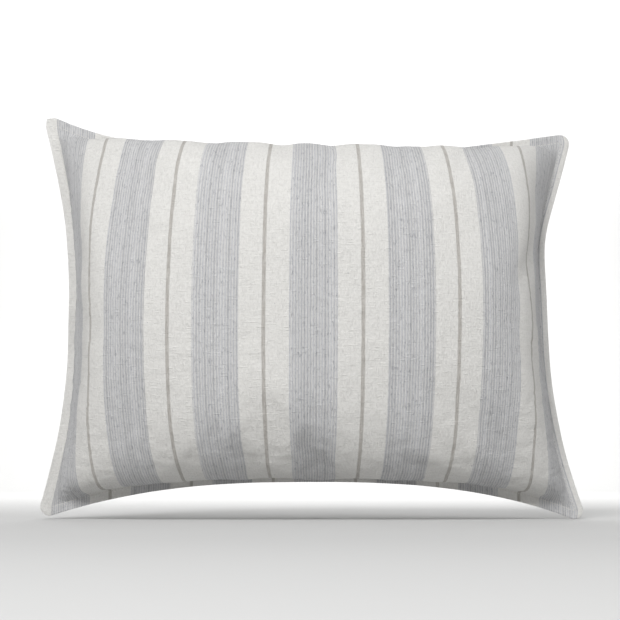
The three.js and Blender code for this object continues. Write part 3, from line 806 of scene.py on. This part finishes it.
def with_flange(face, columns, rows, side, bottom=True, top=True):
    """Adds the flange's lines of points round a face, on the sides that have one."""
    steps = np.array(FLANGE_LINES)
    wide = np.concatenate([columns[0] - steps[::-1], columns, columns[-1] + steps])
    low = rows[0] - steps[::-1] if bottom else []
    high = rows[-1] + steps if top else []
    tall = np.concatenate([low, rows, high])
    points = np.empty((len(tall), len(wide), 3))
    for j, z_cut in enumerate(tall):
        for i, x_cut in enumerate(wide):
            points[j, i] = edge_point(x_cut, z_cut, side * FLANGE_RISE)
    points[len(low) : len(low) + len(rows), FACE_COLUMNS] = face + (0, side * FLANGE_RISE, 0)
    x_grid, z_grid = np.meshgrid(wide, tall)
    return points, np.stack([x_grid, z_grid], axis=-1)


noise.seed_set(CREASE_SEED)  # without it noise_vector bends the creases differently each run


def crumple(piece, seed, zip_z=None):
    """Presses fine creases and seam puckers into a panel, as deep as its place allows. Beside
    the zip, which lies zip_z up on the cut, the cloth is held smooth."""
    mesh = piece.data
    place = np.zeros((len(mesh.vertices), 2))
    corner = np.empty(len(mesh.loops), np.int32)
    mesh.loops.foreach_get("vertex_index", corner)
    uv = np.empty(len(mesh.loops) * 2, np.float32)
    mesh.uv_layers["Cut"].data.foreach_get("uv", uv)
    place[corner] = uv.reshape(-1, 2)
    normals = [Vector(n.vector) for n in mesh.vertex_normals]
    for vertex, normal, (x, z) in zip(mesh.vertices, normals, place):
        in_x, in_z = SEAM_CUT[0] - abs(x), SEAM_CUT[1] - abs(z)
        inside = min(in_x, in_z)
        if inside <= 0:
            continue
        creased = 1
        if zip_z is not None:
            from_smooth = abs(z - zip_z) - SMOOTH_BY_ZIP
            creased = min(1, max(0, from_smooth / (CREASED_BY_ZIP - SMOOTH_BY_ZIP)))
        along, across = (z, x) if in_x < in_z else (x, z)
        near = math.exp(-inside / PUCKER_REACH) * min(1, inside / PUCKER_START)
        pucker = noise.noise(Vector((along / PUCKER_SIZE, seed, math.copysign(4, across))))
        bend_place = Vector((x * CREASE_BENDS_PER_METRE, z * CREASE_BENDS_PER_METRE, seed))
        warped = Vector((x / CREASE_SIZE[0], z / CREASE_SIZE[1], seed))
        fold = noise.noise(warped + CREASE_BEND * noise.noise_vector(bend_place))
        lower = 0.35 + 0.65 * min(1, max(0, (0.06 - z) / 0.2))
        crease = -max(0, 1 - abs(fold) * CREASE_SHARPNESS) * min(1, inside / 0.02) * lower
        vertex.co += normal * creased * (PUCKER * pucker * near + CREASE * crease)
    mesh.update()


def sewn_panel(name, points, cut, seed, node):
    """One panel of the cover, from its outside surface."""
    if node != "cover_front_panel":
        points, cut = points[:, ::-1], cut[:, ::-1]
    panel = cloth_mesh(name, points, cut)
    add_modifier(panel, "SUBSURF", levels=1, render_levels=1, boundary_smooth="PRESERVE_CORNERS")
    apply_modifiers(panel)
    crumple(panel, seed, None if node == "cover_front_panel" else ZIP_CUT - SEAM_CUT[1])
    add_modifier(panel, "SOLIDIFY", thickness=COVER_THICKNESS, offset=-1)
    finish_piece(panel, "pillow", "striped_cloth", striped_cloth, node)


points, cut = with_flange(front_face, cut_columns, cut_rows, -1)
sewn_panel("front_cloth", points, cut, 1.7, "cover_front_panel")


def folded_edge(face, row, upward):
    """The rows of points that fold a panel's edge under, beside the zip."""
    share = np.clip((np.abs(cut_columns) - ZIP_HELD) / HEM_RUN_OUT, 0, 1)[:, None]
    folds = []
    for back, under in HEM:
        on_zip = zip_point(cut_columns * ZIP_EASE, upward * (ZIP_OPENING - back), ZIP_FACE - under)
        seamed = face[row] - (0, under, 0)
        start = np.where(held_columns[:, None], on_zip, seamed)
        folds.append(start * (1 - share) + seamed * share)
    return folds


def back_part(upward):
    """The back above or below the zip, with its fold: its face's points and cut rows."""
    row = zip_row + upward
    face = back_face.copy()
    face[row, ~held_columns] = back_face[zip_row, ~held_columns]
    chosen = face[row:] if upward > 0 else face[: row + 1]
    rows = cut_rows[row:] if upward > 0 else cut_rows[: row + 1]
    return chosen, rows, folded_edge(face, row, upward)


def back_panel(name, node, upward, seed):
    """One part of the back, with its flange and the hem folded under beside the zip."""
    face, rows, folds = back_part(upward)
    points, cut = with_flange(face, cut_columns, rows, 1, bottom=upward < 0, top=upward > 0)
    hem = np.empty((len(HEM), *points.shape[1:]))
    hem_cut = np.empty((len(HEM), *cut.shape[1:]))
    edge, second = (0, 1) if upward > 0 else (-1, -2)
    for k, (_, under) in enumerate(HEM):
        hem[k] = points[edge] - (0, under, 0)
        hem[k, FACE_COLUMNS] = folds[k]
        hem_cut[k] = cut[edge] - (0, upward * HEM_STEP * (k + 1))
    on_tape = np.where(held_columns[:, None], (0, FLANGE_RISE, 0), 0)
    for row in (edge, second):
        points[row, FACE_COLUMNS] -= on_tape
    if upward > 0:
        points, cut = np.concatenate([hem[::-1], points]), np.concatenate([hem_cut[::-1], cut])
    else:
        points, cut = np.concatenate([points, hem]), np.concatenate([cut, hem_cut])
    sewn_panel(name, points, cut, seed, node)


back_panel("back_cloth_upper", "cover_back_panel_upper", 1, 5.3)
back_panel("back_cloth_lower", "cover_back_panel_lower", -1, 9.1)

# ---------------------------------------------------------------------------------------
# The flange's topstitching: one line of lockstitch through both layers beside the seam, so
# its needle thread shows in front and its bobbin thread behind. The line of stitches along
# the flange's outer edge was sewn inside out and lies between the layers.
# ---------------------------------------------------------------------------------------
TOPSTITCH = 0.0032
TOPSTITCH_THREAD = 0.00028
TOPSTITCH_FROM_SEAM = 0.0015
EDGE_SEAM_FROM_EDGE = 0.0014
EDGE_SEAM_THREAD = 0.00016


def flange_line(beyond, rise):
    """A closed line on the flange, beyond the seam by a given distance."""
    run_x = np.linspace(-1, 1, 241)[:-1] * (SEAM_CUT[0] + beyond)
    run_z = np.linspace(-1, 1, 181)[:-1] * (SEAM_CUT[1] + beyond)
    far_x, far_z = SEAM_CUT[0] + beyond, SEAM_CUT[1] + beyond
    loop = [(x, -far_z) for x in run_x] + [(far_x, z) for z in run_z]
    loop += [(-x, far_z) for x in run_x] + [(-far_x, -z) for z in run_z]
    points = np.array([edge_point(x, z, rise) for x, z in loop])
    return np.concatenate([points, points[:1]])


for name, side in (("needle", -1), ("bobbin", 1)):
    line = flange_line(TOPSTITCH_FROM_SEAM, side * FLANGE_RISE)
    sewn_line(f"{name}_stitches", f"flange_{name}_thread", line, TOPSTITCH, side, TOPSTITCH_THREAD, 1.5)

line = flange_line(FLANGE - EDGE_SEAM_FROM_EDGE, 0)
sewn_line("edge_seam_stitches", "cover_edge_seam_thread", line, CASING_STITCH, -1, EDGE_SEAM_THREAD)

# ---------------------------------------------------------------------------------------
# The two labels: blank loops of white satin tape, one sewn into the cover's side seam
# inside and one into the insert's.
# ---------------------------------------------------------------------------------------
LABEL_THICKNESS = 0.00025
SATIN_WHITE = (0.82, 0.81, 0.79)
SATIN_SHADE = (0.73, 0.72, 0.70)

satin_tape, tree, shader = new_material("satin_tape", 0.5, sheen=0.2)
place = cut_place(tree)
height, weave_shading = weave_in(tree, place, 5200, 0.05)
# Painted sheen and shade: the satin is lighter in long streaks along its floats and on its threads'
# crowns, and darker in the gaps between threads.
painted_float_sheen = mottle(tree, scaled(tree, place, 300, 4000), detail=2)
colour_between(tree, shader, work_out(tree, "MULTIPLY", weave_shading, painted_float_sheen), SATIN_SHADE, SATIN_WHITE)
raise_relief(tree, shader, height, 0.00006)


def folded_label(name, node, rows=16, columns=14):
    """A label in the place of its CAD solid, following its curve, folded double."""
    solid = frame["nodes"][node].data
    low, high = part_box(node)
    corners = np.array([vertex.co for vertex in solid.vertices])
    inner = corners[:, 0] if abs(low.x) < abs(high.x) else -corners[:, 0]
    tip = corners[inner < inner.min() + 0.004].mean(axis=0)
    root = corners[inner > inner.max() - 0.004].mean(axis=0)
    half = (high.z - low.z) * 0.42
    reach = np.linalg.norm(tip - root)
    points = np.empty((rows + 1, 2 * columns + 1, 3))
    cut = np.empty((rows + 1, 2 * columns + 1, 2))
    for j in range(rows + 1):
        for i in range(2 * columns + 1):
            out = 1 - abs(i - columns) / columns
            layer = (i - columns) / columns
            spread = 0.0005 * math.sin(math.pi * min(1, abs(layer))) * (1 if layer > 0 else -1)
            ripple = 0.0004 * math.sin(out * 5 + j * 0.25)
            centre = root + (tip - root) * out * 0.94
            points[j, i] = centre + np.array([0, spread + ripple, (2 * j / rows - 1) * half])
            cut[j, i] = (layer * reach, (2 * j / rows - 1) * half)
    made = cloth_mesh(name, points, cut)
    add_modifier(made, "SOLIDIFY", thickness=LABEL_THICKNESS, offset=0)
    finish_piece(made, "pillow", "label_tape", satin_tape, node)


folded_label("care_label_loop", "cover_care_label")
folded_label("insert_label_loop", "insert_label")

# ---------------------------------------------------------------------------------------
# The zip's tapes: off-white woven tape, stitched under the folded edges of the cloth.
# ---------------------------------------------------------------------------------------
TAPE_HALF_WIDTH = 0.0115
TAPE_THICKNESS = 0.0005
TAPE_DROP = 0.005
TAPE_GAP = 0.0009
TAPE_TAIL = 0.013
ZIP_HALF_LENGTH = 0.178
TAPE_COLOUR = (0.70, 0.68, 0.63)
TAPE_SHADE = (0.55, 0.53, 0.49)

woven_tape, tree, shader = new_material("woven_tape", 0.85, sheen=0.1)
place = cut_place(tree)
height, weave_shading = weave_in(tree, place, 2200, 0.1)
# Painted shade: the tape is darker in the gaps between its threads.
colour_between(tree, shader, weave_shading, TAPE_SHADE, TAPE_COLOUR)
raise_relief(tree, shader, height, 0.0002)

for suffix, upward in (("upper", 1), ("lower", -1)):
    along = np.linspace(-1, 1, 181) * (ZIP_HALF_LENGTH + TAPE_TAIL)
    under_coil = np.linspace(TAPE_GAP, TAPE_FOLD, 9)
    under_cloth = np.linspace(TAPE_FOLD, TAPE_HALF_WIDTH, 9)[1:]
    across = np.concatenate([under_coil, under_cloth])
    rows = []
    for place_across in across:
        drop = TAPE_DROP * max(0, (place_across - TAPE_FOLD) / (TAPE_HALF_WIDTH - TAPE_FOLD))
        rows.append(zip_point(along, upward * place_across, -drop))
    x_grid, z_grid = np.meshgrid(along, across)
    tape = cloth_mesh(f"tape_{suffix}_woven", np.array(rows), np.stack([x_grid, z_grid], axis=-1))
    if upward > 0:
        tape.data.flip_normals()
    add_modifier(tape, "SOLIDIFY", thickness=TAPE_THICKNESS, offset=-1)
    finish_piece(tape, "pillow", "zip_tape", woven_tape, f"zip_tape_{suffix}")

# ---------------------------------------------------------------------------------------
# The zip's coils: each is one nylon wire wound into flattened turns, whose heads reach past
# the middle of the chain and lock between those of the other side.
# ---------------------------------------------------------------------------------------
COIL_PITCH = 0.00127
COIL_WIRE = 0.00028
COIL_HEAD = -0.00035
COIL_HEEL = 0.0029
COIL_LOW = 0.0003
COIL_TOP = 0.0017
STOP_LENGTH = 0.0026
CLEARANCE = 0.0003
TURN_STEPS = 12
WIRE_SIDES = 6
NYLON = (0.66, 0.64, 0.57)
NYLON_SHADE = (0.52, 0.50, 0.44)

nylon, tree, shader = new_material("nylon", 0.38)
place = tree.nodes.new("ShaderNodeTexCoord").outputs["Object"]
cloudy = mottle(tree, scaled(tree, place, 900, 900, 900), detail=2)
colour_between(tree, shader, cloudy, NYLON_SHADE, NYLON)
tree.links.new(between(tree, cloudy, 0.3, 0.7, 0.3, 0.5), shader.inputs["Roughness"])


def wire(name, path, outs, radius, sides=WIRE_SIDES):
    """A round wire along a line of points, closed at both ends."""
    along = np.gradient(path, axis=0)
    along /= np.linalg.norm(along, axis=1, keepdims=True)
    outs = outs - along * np.sum(outs * along, axis=1, keepdims=True)
    outs /= np.linalg.norm(outs, axis=1, keepdims=True)
    beside = np.cross(along, outs)
    lines = []
    for k in range(sides):
        angle = 2 * math.pi * k / sides
        lines.append(path + radius * (outs * math.cos(angle) + beside * math.sin(angle)))
    count = len(path)
    faces = []
    for step in range(count - 1):
        for k in range(sides):
            a, b = step * sides + k, step * sides + (k + 1) % sides
            faces.append([a, b, b + sides, a + sides])
    faces.append(list(range(sides))[::-1])
    faces.append(list(range((count - 1) * sides, count * sides)))
    return turned_out(smooth_mesh(name, np.stack(lines, axis=1), faces))


chain_end = ZIP_HALF_LENGTH - STOP_LENGTH - CLEARANCE
for suffix, upward in (("upper", 1), ("lower", -1)):
    turns = int(2 * chain_end / COIL_PITCH) - 1
    angle = np.linspace(0, 2 * math.pi * turns, turns * TURN_STEPS + 1)
    half_turn = 0.5 if upward > 0 else 0
    along = -chain_end + COIL_PITCH * (0.5 + angle / (2 * math.pi) + half_turn)
    middle = (COIL_HEAD + COIL_HEEL) / 2
    reach = (COIL_HEEL - COIL_HEAD) / 2 - COIL_WIRE
    level = (COIL_LOW + COIL_TOP) / 2
    rise = (COIL_TOP - COIL_LOW) / 2 - COIL_WIRE
    squared = np.sign(np.cos(angle)) * np.abs(np.cos(angle)) ** 0.7
    across = upward * (middle + reach * squared)
    out = level + rise * np.sin(angle)
    path = zip_point(along, across, out)
    core = zip_point(along, upward * middle + 0 * along, level + 0 * along)
    coil = wire(f"coil_{suffix}_nylon", path, path - core, COIL_WIRE)
    finish_piece(coil, "pillow", "zip_coil", nylon, f"zip_coil_{suffix}")

# ---------------------------------------------------------------------------------------
# The rows of stitches that hold the tapes under the cloth, and the bar tacks, close zigzags
# of the same thread across both ends of the opening.
# ---------------------------------------------------------------------------------------
ZIP_STITCH = 0.0068
ZIP_STITCH_LENGTH = 0.0030
TACK_FROM_END = 0.0028
TACK_HALF = 0.007
TACK_WIDTH = 0.0016
TACK_TURNS = 34
TACK_THREAD = 0.00026


def out_of_zip(along):
    """The direction straight out of the zip at a place along it."""
    return zip_point(along, 0 * along, 0 * along + 0.001) - zip_point(along, 0 * along, 0 * along)


for suffix, upward in (("upper", 1), ("lower", -1)):
    along = np.linspace(-ZIP_HALF_LENGTH, ZIP_HALF_LENGTH, 241)
    line = zip_point(along, upward * ZIP_STITCH, ZIP_FACE + 0.0002)
    starts, ends = spaced_line(line, ZIP_STITCH_LENGTH)
    outs = out_of_zip(starts[:, 0])
    lift = TOPSTITCH_THREAD * 1.6
    row = stitches(f"zip_stitches_{suffix}", starts, ends, outs, TOPSTITCH_THREAD, lift)
    finish_piece(row, "pillow", "cover_thread", spun_thread, f"zip_stitch_{suffix}")

for name, side in (("left", -1), ("right", 1)):
    run = np.arange(TACK_TURNS + 1)
    along = side * (ZIP_HALF_LENGTH + TACK_FROM_END) + (run % 2 - 0.5) * TACK_WIDTH
    across = np.linspace(-TACK_HALF, TACK_HALF, TACK_TURNS + 1)
    crossing = zip_point(along, across, ZIP_FACE + 0.0006)
    outs = out_of_zip(along[:-1])
    tack = stitches(f"bar_tack_{name}_stitches", crossing[:-1], crossing[1:], outs, TACK_THREAD, 0.0005)
    finish_piece(tack, "pillow", "cover_thread", spun_thread, f"zip_bar_tack_{name}")

# ---------------------------------------------------------------------------------------
# The zip's metal: the stops, small clamped blocks of nickel-plated brass, the slider, which
# is die cast with a bail on top, and the pull tab, a stamped plate that swings in the bail.
# ---------------------------------------------------------------------------------------
NICKEL = (0.52, 0.51, 0.48)
NICKEL_WORN = (0.42, 0.40, 0.36)
SLIDER_REST = -ZIP_HALF_LENGTH + STOP_LENGTH + CLEARANCE + 0.0045
SLIDER_LENGTH = 0.009
SLIDER_HALF_WIDTH = 0.0039
SLIDER_PLATE = 0.0008
SLIDER_TOP = COIL_TOP + CLEARANCE + SLIDER_PLATE
SLIDER_BOTTOM = -TAPE_THICKNESS - CLEARANCE - SLIDER_PLATE
SLIDER_WING = 0.0007
BAIL_HALF = 0.0023
BAIL_RISE = 0.0028
BAIL_WIRE = 0.00045
TAB_LENGTH = 0.022
TAB_HALF_WIDTH = 0.0027
TAB_THICKNESS = 0.001
TAB_PIVOT = SLIDER_TOP + 0.0011
TAB_TILT = math.radians(3)
EDGE_ROUND = 0.00018
PLATE_OVERLAP = 0.0003  # how far the slider's wings and neck reach into its plates

nickel, tree, shader = new_material("nickel", 0.35, metallic=1.0)
place = tree.nodes.new("ShaderNodeTexCoord").outputs["Object"]
brushed = mottle(tree, scaled(tree, place, 600, 9000, 9000), detail=3)
mottled_share = mottle(tree, scaled(tree, place, 420, 420, 420), detail=3)
colour_between(tree, shader, between(tree, mottled_share, 0.4, 0.7), NICKEL, NICKEL_WORN)
tree.links.new(between(tree, brushed, 0.3, 0.7, 0.26, 0.46), shader.inputs["Roughness"])
raise_relief(tree, shader, brushed, 0.00002)


def zip_matrix(along):
    """Own X towards the closed end, Y up across the zip and Z out of it."""
    angle = math.asin(along / zip_radius)
    x = Vector((-math.cos(angle), math.sin(angle), 0))
    radial = Vector((math.sin(angle), math.cos(angle), 0))
    y = radial * math.sin(ZIP_TILT) + Vector((0, 0, 1)) * math.cos(ZIP_TILT)
    turn = Matrix((x, y, x.cross(y))).transposed().to_4x4()
    return Matrix.Translation(Vector(zip_point(np.array(along), 0, 0))) @ turn


def stamped(outlines, low, high):
    """A flat plate with rounded edges between two levels. Later outlines are its holes."""
    curve = bpy.data.curves.new("plate", "CURVE")
    curve.dimensions = "2D"
    curve.fill_mode = "BOTH"
    curve.extrude = (high - low) / 2 - EDGE_ROUND
    curve.bevel_depth = EDGE_ROUND
    curve.bevel_resolution = 2
    curve.offset = -EDGE_ROUND
    for outline_points in outlines:
        spline = curve.splines.new("POLY")
        spline.points.add(len(outline_points) - 1)
        for point, (x, y) in zip(spline.points, outline_points):
            point.co = (x, y, 0, 1)
        spline.use_cyclic_u = True
    holder = linked(bpy.data.objects.new("plate", curve))
    bpy.context.view_layer.update()
    seen = holder.evaluated_get(bpy.context.evaluated_depsgraph_get())
    mesh = bpy.data.meshes.new_from_object(seen)
    bpy.data.objects.remove(holder)
    mesh.transform(Matrix.Translation((0, 0, (low + high) / 2)))
    return mesh


def rounded_plate(x_low, x_high, y_low, y_high, radius):
    """The outline of a rectangle with rounded corners."""
    points = []
    centres = ((x_high, y_high, 0), (x_low, y_high, 1), (x_low, y_low, 2), (x_high, y_low, 3))
    for x, y, quarter in centres:
        cx = x - math.copysign(radius, x - (x_low + x_high) / 2)
        cy = y - math.copysign(radius, y - (y_low + y_high) / 2)
        for step in range(7):
            angle = math.pi / 2 * (quarter + step / 6)
            points.append((cx + radius * math.cos(angle), cy + radius * math.sin(angle)))
    return points


def joined(name, meshes, matrix):
    """One piece from several meshes, moved to its place."""
    parts_made = [linked(bpy.data.objects.new(name, mesh)) for mesh in meshes]
    if len(parts_made) > 1:
        with bpy.context.temp_override(active_object=parts_made[0], selected_editable_objects=parts_made):
            bpy.ops.object.join()
    made = parts_made[0]
    made.name = name
    made.data.transform(matrix)
    made.data.update()
    return made


def stop_block(across_low, across_high):
    """A block clamped round the coils, between two places across the chain."""
    half = STOP_LENGTH / 2
    return stamped([rounded_plate(-half, half, across_low, across_high, 0.0004)], COIL_LOW, COIL_TOP)


top_along = -ZIP_HALF_LENGTH + STOP_LENGTH / 2
for suffix, span in (("upper", (0.0007, COIL_HEEL)), ("lower", (-COIL_HEEL, -0.0007))):
    stop = joined(f"top_stop_{suffix}_metal", [stop_block(*span)], zip_matrix(top_along))
    finish_piece(stop, "pillow", "zip_metal", nickel, f"zip_top_stop_{suffix}")
bottom = joined("bottom_stop_metal", [stop_block(-COIL_HEEL, COIL_HEEL)], zip_matrix(-top_along))
finish_piece(bottom, "pillow", "zip_metal", nickel, "zip_bottom_stop")


def slider_outline():
    """Wide at the mouth, where the two sides come apart, and narrower at the tail."""
    points = []
    for step in range(48):
        angle = 2 * math.pi * step / 48
        x = math.copysign(abs(math.cos(angle)) ** 0.55, math.cos(angle)) * SLIDER_LENGTH / 2
        width = SLIDER_HALF_WIDTH * (0.93 + 0.07 * x / (SLIDER_LENGTH / 2))
        y = math.copysign(abs(math.sin(angle)) ** 0.45, math.sin(angle)) * width
        points.append((x, y))
    return points


def slider_wing(side):
    """The turned-down edge of the slider's top plate."""
    outer = side * SLIDER_HALF_WIDTH * 0.965
    inner = side * (SLIDER_HALF_WIDTH - SLIDER_WING)
    low, high = sorted((outer, inner))
    plate = rounded_plate(-0.0036, 0.0036, low, high, 0.0003)
    return stamped([plate], CLEARANCE, SLIDER_TOP - PLATE_OVERLAP)


bail_turn = np.linspace(0, math.pi, 19)
bail_path = np.stack(
    [
        -BAIL_HALF * np.sign(np.cos(bail_turn)) * np.abs(np.cos(bail_turn)) ** 0.5,
        0 * bail_turn,
        SLIDER_TOP - 0.0002 + BAIL_RISE * np.sin(bail_turn) ** 0.55,
    ],
    axis=-1,
)
bail_out = bail_path - np.array([0, 0, SLIDER_TOP])
bail = wire("bail", bail_path, bail_out, BAIL_WIRE, sides=12)
for vertex in bail.data.vertices:
    vertex.co.y *= 2  # the bail is a strap, twice as wide as it is thick
bail_mesh = bail.data
bpy.data.objects.remove(bail)
neck_plate = rounded_plate(0.0029, 0.0045, -0.0004, 0.0004, 0.0002)
neck = stamped([neck_plate], SLIDER_BOTTOM + PLATE_OVERLAP, SLIDER_TOP - PLATE_OVERLAP)
slider = joined(
    "slider_metal",
    [
        stamped([slider_outline()], SLIDER_TOP - SLIDER_PLATE, SLIDER_TOP),
        stamped([slider_outline()], SLIDER_BOTTOM, SLIDER_BOTTOM + SLIDER_PLATE),
        slider_wing(1),
        slider_wing(-1),
        neck,
        bail_mesh,
    ],
    zip_matrix(SLIDER_REST),
)
finish_piece(slider, "zip_slider", "zip_metal", nickel, "zip_slider_body")


def tab_outline():
    """Square at the hinge end, slightly waisted, and round at the finger end."""
    points = [(-0.0005, -TAB_HALF_WIDTH + 0.0008), (0.0003, -TAB_HALF_WIDTH)]
    for step in range(1, 12):
        share = step / 12
        waist = 0.0005 * math.sin(math.pi * share)
        points.append((0.0003 + share * (TAB_LENGTH - TAB_HALF_WIDTH - 0.0003), -TAB_HALF_WIDTH + waist))
    for step in range(17):
        angle = -math.pi / 2 + math.pi * step / 16
        centre = TAB_LENGTH - TAB_HALF_WIDTH
        points.append((centre + TAB_HALF_WIDTH * math.cos(angle), TAB_HALF_WIDTH * math.sin(angle)))
    return points + [(x, -y) for x, y in points[12:0:-1]] + [(-0.0005, TAB_HALF_WIDTH - 0.0008)]


tab_mesh = stamped(
    [tab_outline(), rounded_plate(0.0005, 0.0037, -0.0015, 0.0015, 0.0004)],
    -TAB_THICKNESS / 2,
    TAB_THICKNESS / 2,
)
tab_place = Matrix.Translation((0, 0, TAB_PIVOT)) @ Matrix.Rotation(math.pi, 4, "Z")
tab_place = tab_place @ Matrix.Rotation(TAB_TILT, 4, "Y")
tab = joined("pull_tab_metal", [tab_mesh], zip_matrix(SLIDER_REST) @ tab_place)
finish_piece(tab, "zip_pull", "zip_metal", nickel, "zip_pull_tab")

# ---------------------------------------------------------------------------------------
# The studio: a pale seamless floor that turns up behind, soft lamps above and in front and
# one for the paper behind, and a camera a little below the pillow's middle, facing it.
# ---------------------------------------------------------------------------------------
CAMERA_DISTANCE = 1.40
CAMERA_LOW = math.radians(6.5)
LENS = 84
AIM = Vector((-0.0015, MIDDLE_Y, 0.2003))
FLOOR_REACH = 3.0
FLOOR_HALF_WIDTH = 4.5
SWEEP = 0.8
BACKDROP_HEIGHT = 3.2
PAPER = (0.58, 0.58, 0.576)

profile = [(-FLOOR_REACH, 0.0), (FLOOR_REACH - SWEEP, 0.0)]
for step in range(1, 17):
    angle = math.pi / 2 * step / 16
    profile.append((FLOOR_REACH - SWEEP + SWEEP * math.sin(angle), SWEEP - SWEEP * math.cos(angle)))
profile.append((FLOOR_REACH, BACKDROP_HEIGHT))
paper_points = np.array([[(x, y, z) for x in (-FLOOR_HALF_WIDTH, FLOOR_HALF_WIDTH)] for y, z in profile])
floor = cloth_mesh("studio_floor", paper_points, paper_points[..., :2])
paper, tree, shader = new_material("paper", 0.9)
shader.inputs["Base Color"].default_value = (*PAPER, 1)
grain = mottle(tree, scaled(tree, cut_place(tree), 40, 40), detail=3)
raise_relief(tree, shader, grain, 0.0002, 0.2)
floor.data.materials.append(paper)

lights = (
    ("key", (-0.7, -2.1, 1.75), AIM, 64, 1.3),
    ("front_fill", (0.6, -2.6, 1.1), AIM, 2, 1.8),
    ("right_fill", (2.0, -1.0, 1.4), AIM, 13, 1.6),
    ("backdrop_light", (0.0, 1.2, 2.2), Vector((0, 3.0, 0.9)), 90, 1.2),
)
for name, place_of, target, power, size in lights:
    lamp = bpy.data.lights.new(name, "AREA")
    lamp.energy = power
    lamp.size = size
    holder = linked(bpy.data.objects.new(name, lamp))
    holder.location = place_of
    holder.rotation_euler = (target - Vector(place_of)).to_track_quat("-Z", "Y").to_euler()

sky = bpy.data.worlds.new("sky")
sky.use_nodes = True
sky.node_tree.nodes["Background"].inputs["Color"].default_value = (1, 1, 1, 1)
sky.node_tree.nodes["Background"].inputs["Strength"].default_value = 0.27
bpy.context.scene.world = sky
bpy.context.scene.view_settings.view_transform = "Standard"

camera = bpy.data.cameras.new("camera")
camera.lens = LENS
camera.sensor_width = 36
viewer = bpy.data.objects.new("camera", camera)
viewer.location = AIM + Vector(
    (0, -CAMERA_DISTANCE * math.cos(CAMERA_LOW), -CAMERA_DISTANCE * math.sin(CAMERA_LOW))
)
viewer.rotation_euler = (AIM - viewer.location).to_track_quat("-Z", "Y").to_euler()
bpy.context.scene.collection.objects.link(viewer)
bpy.context.scene.camera = viewer
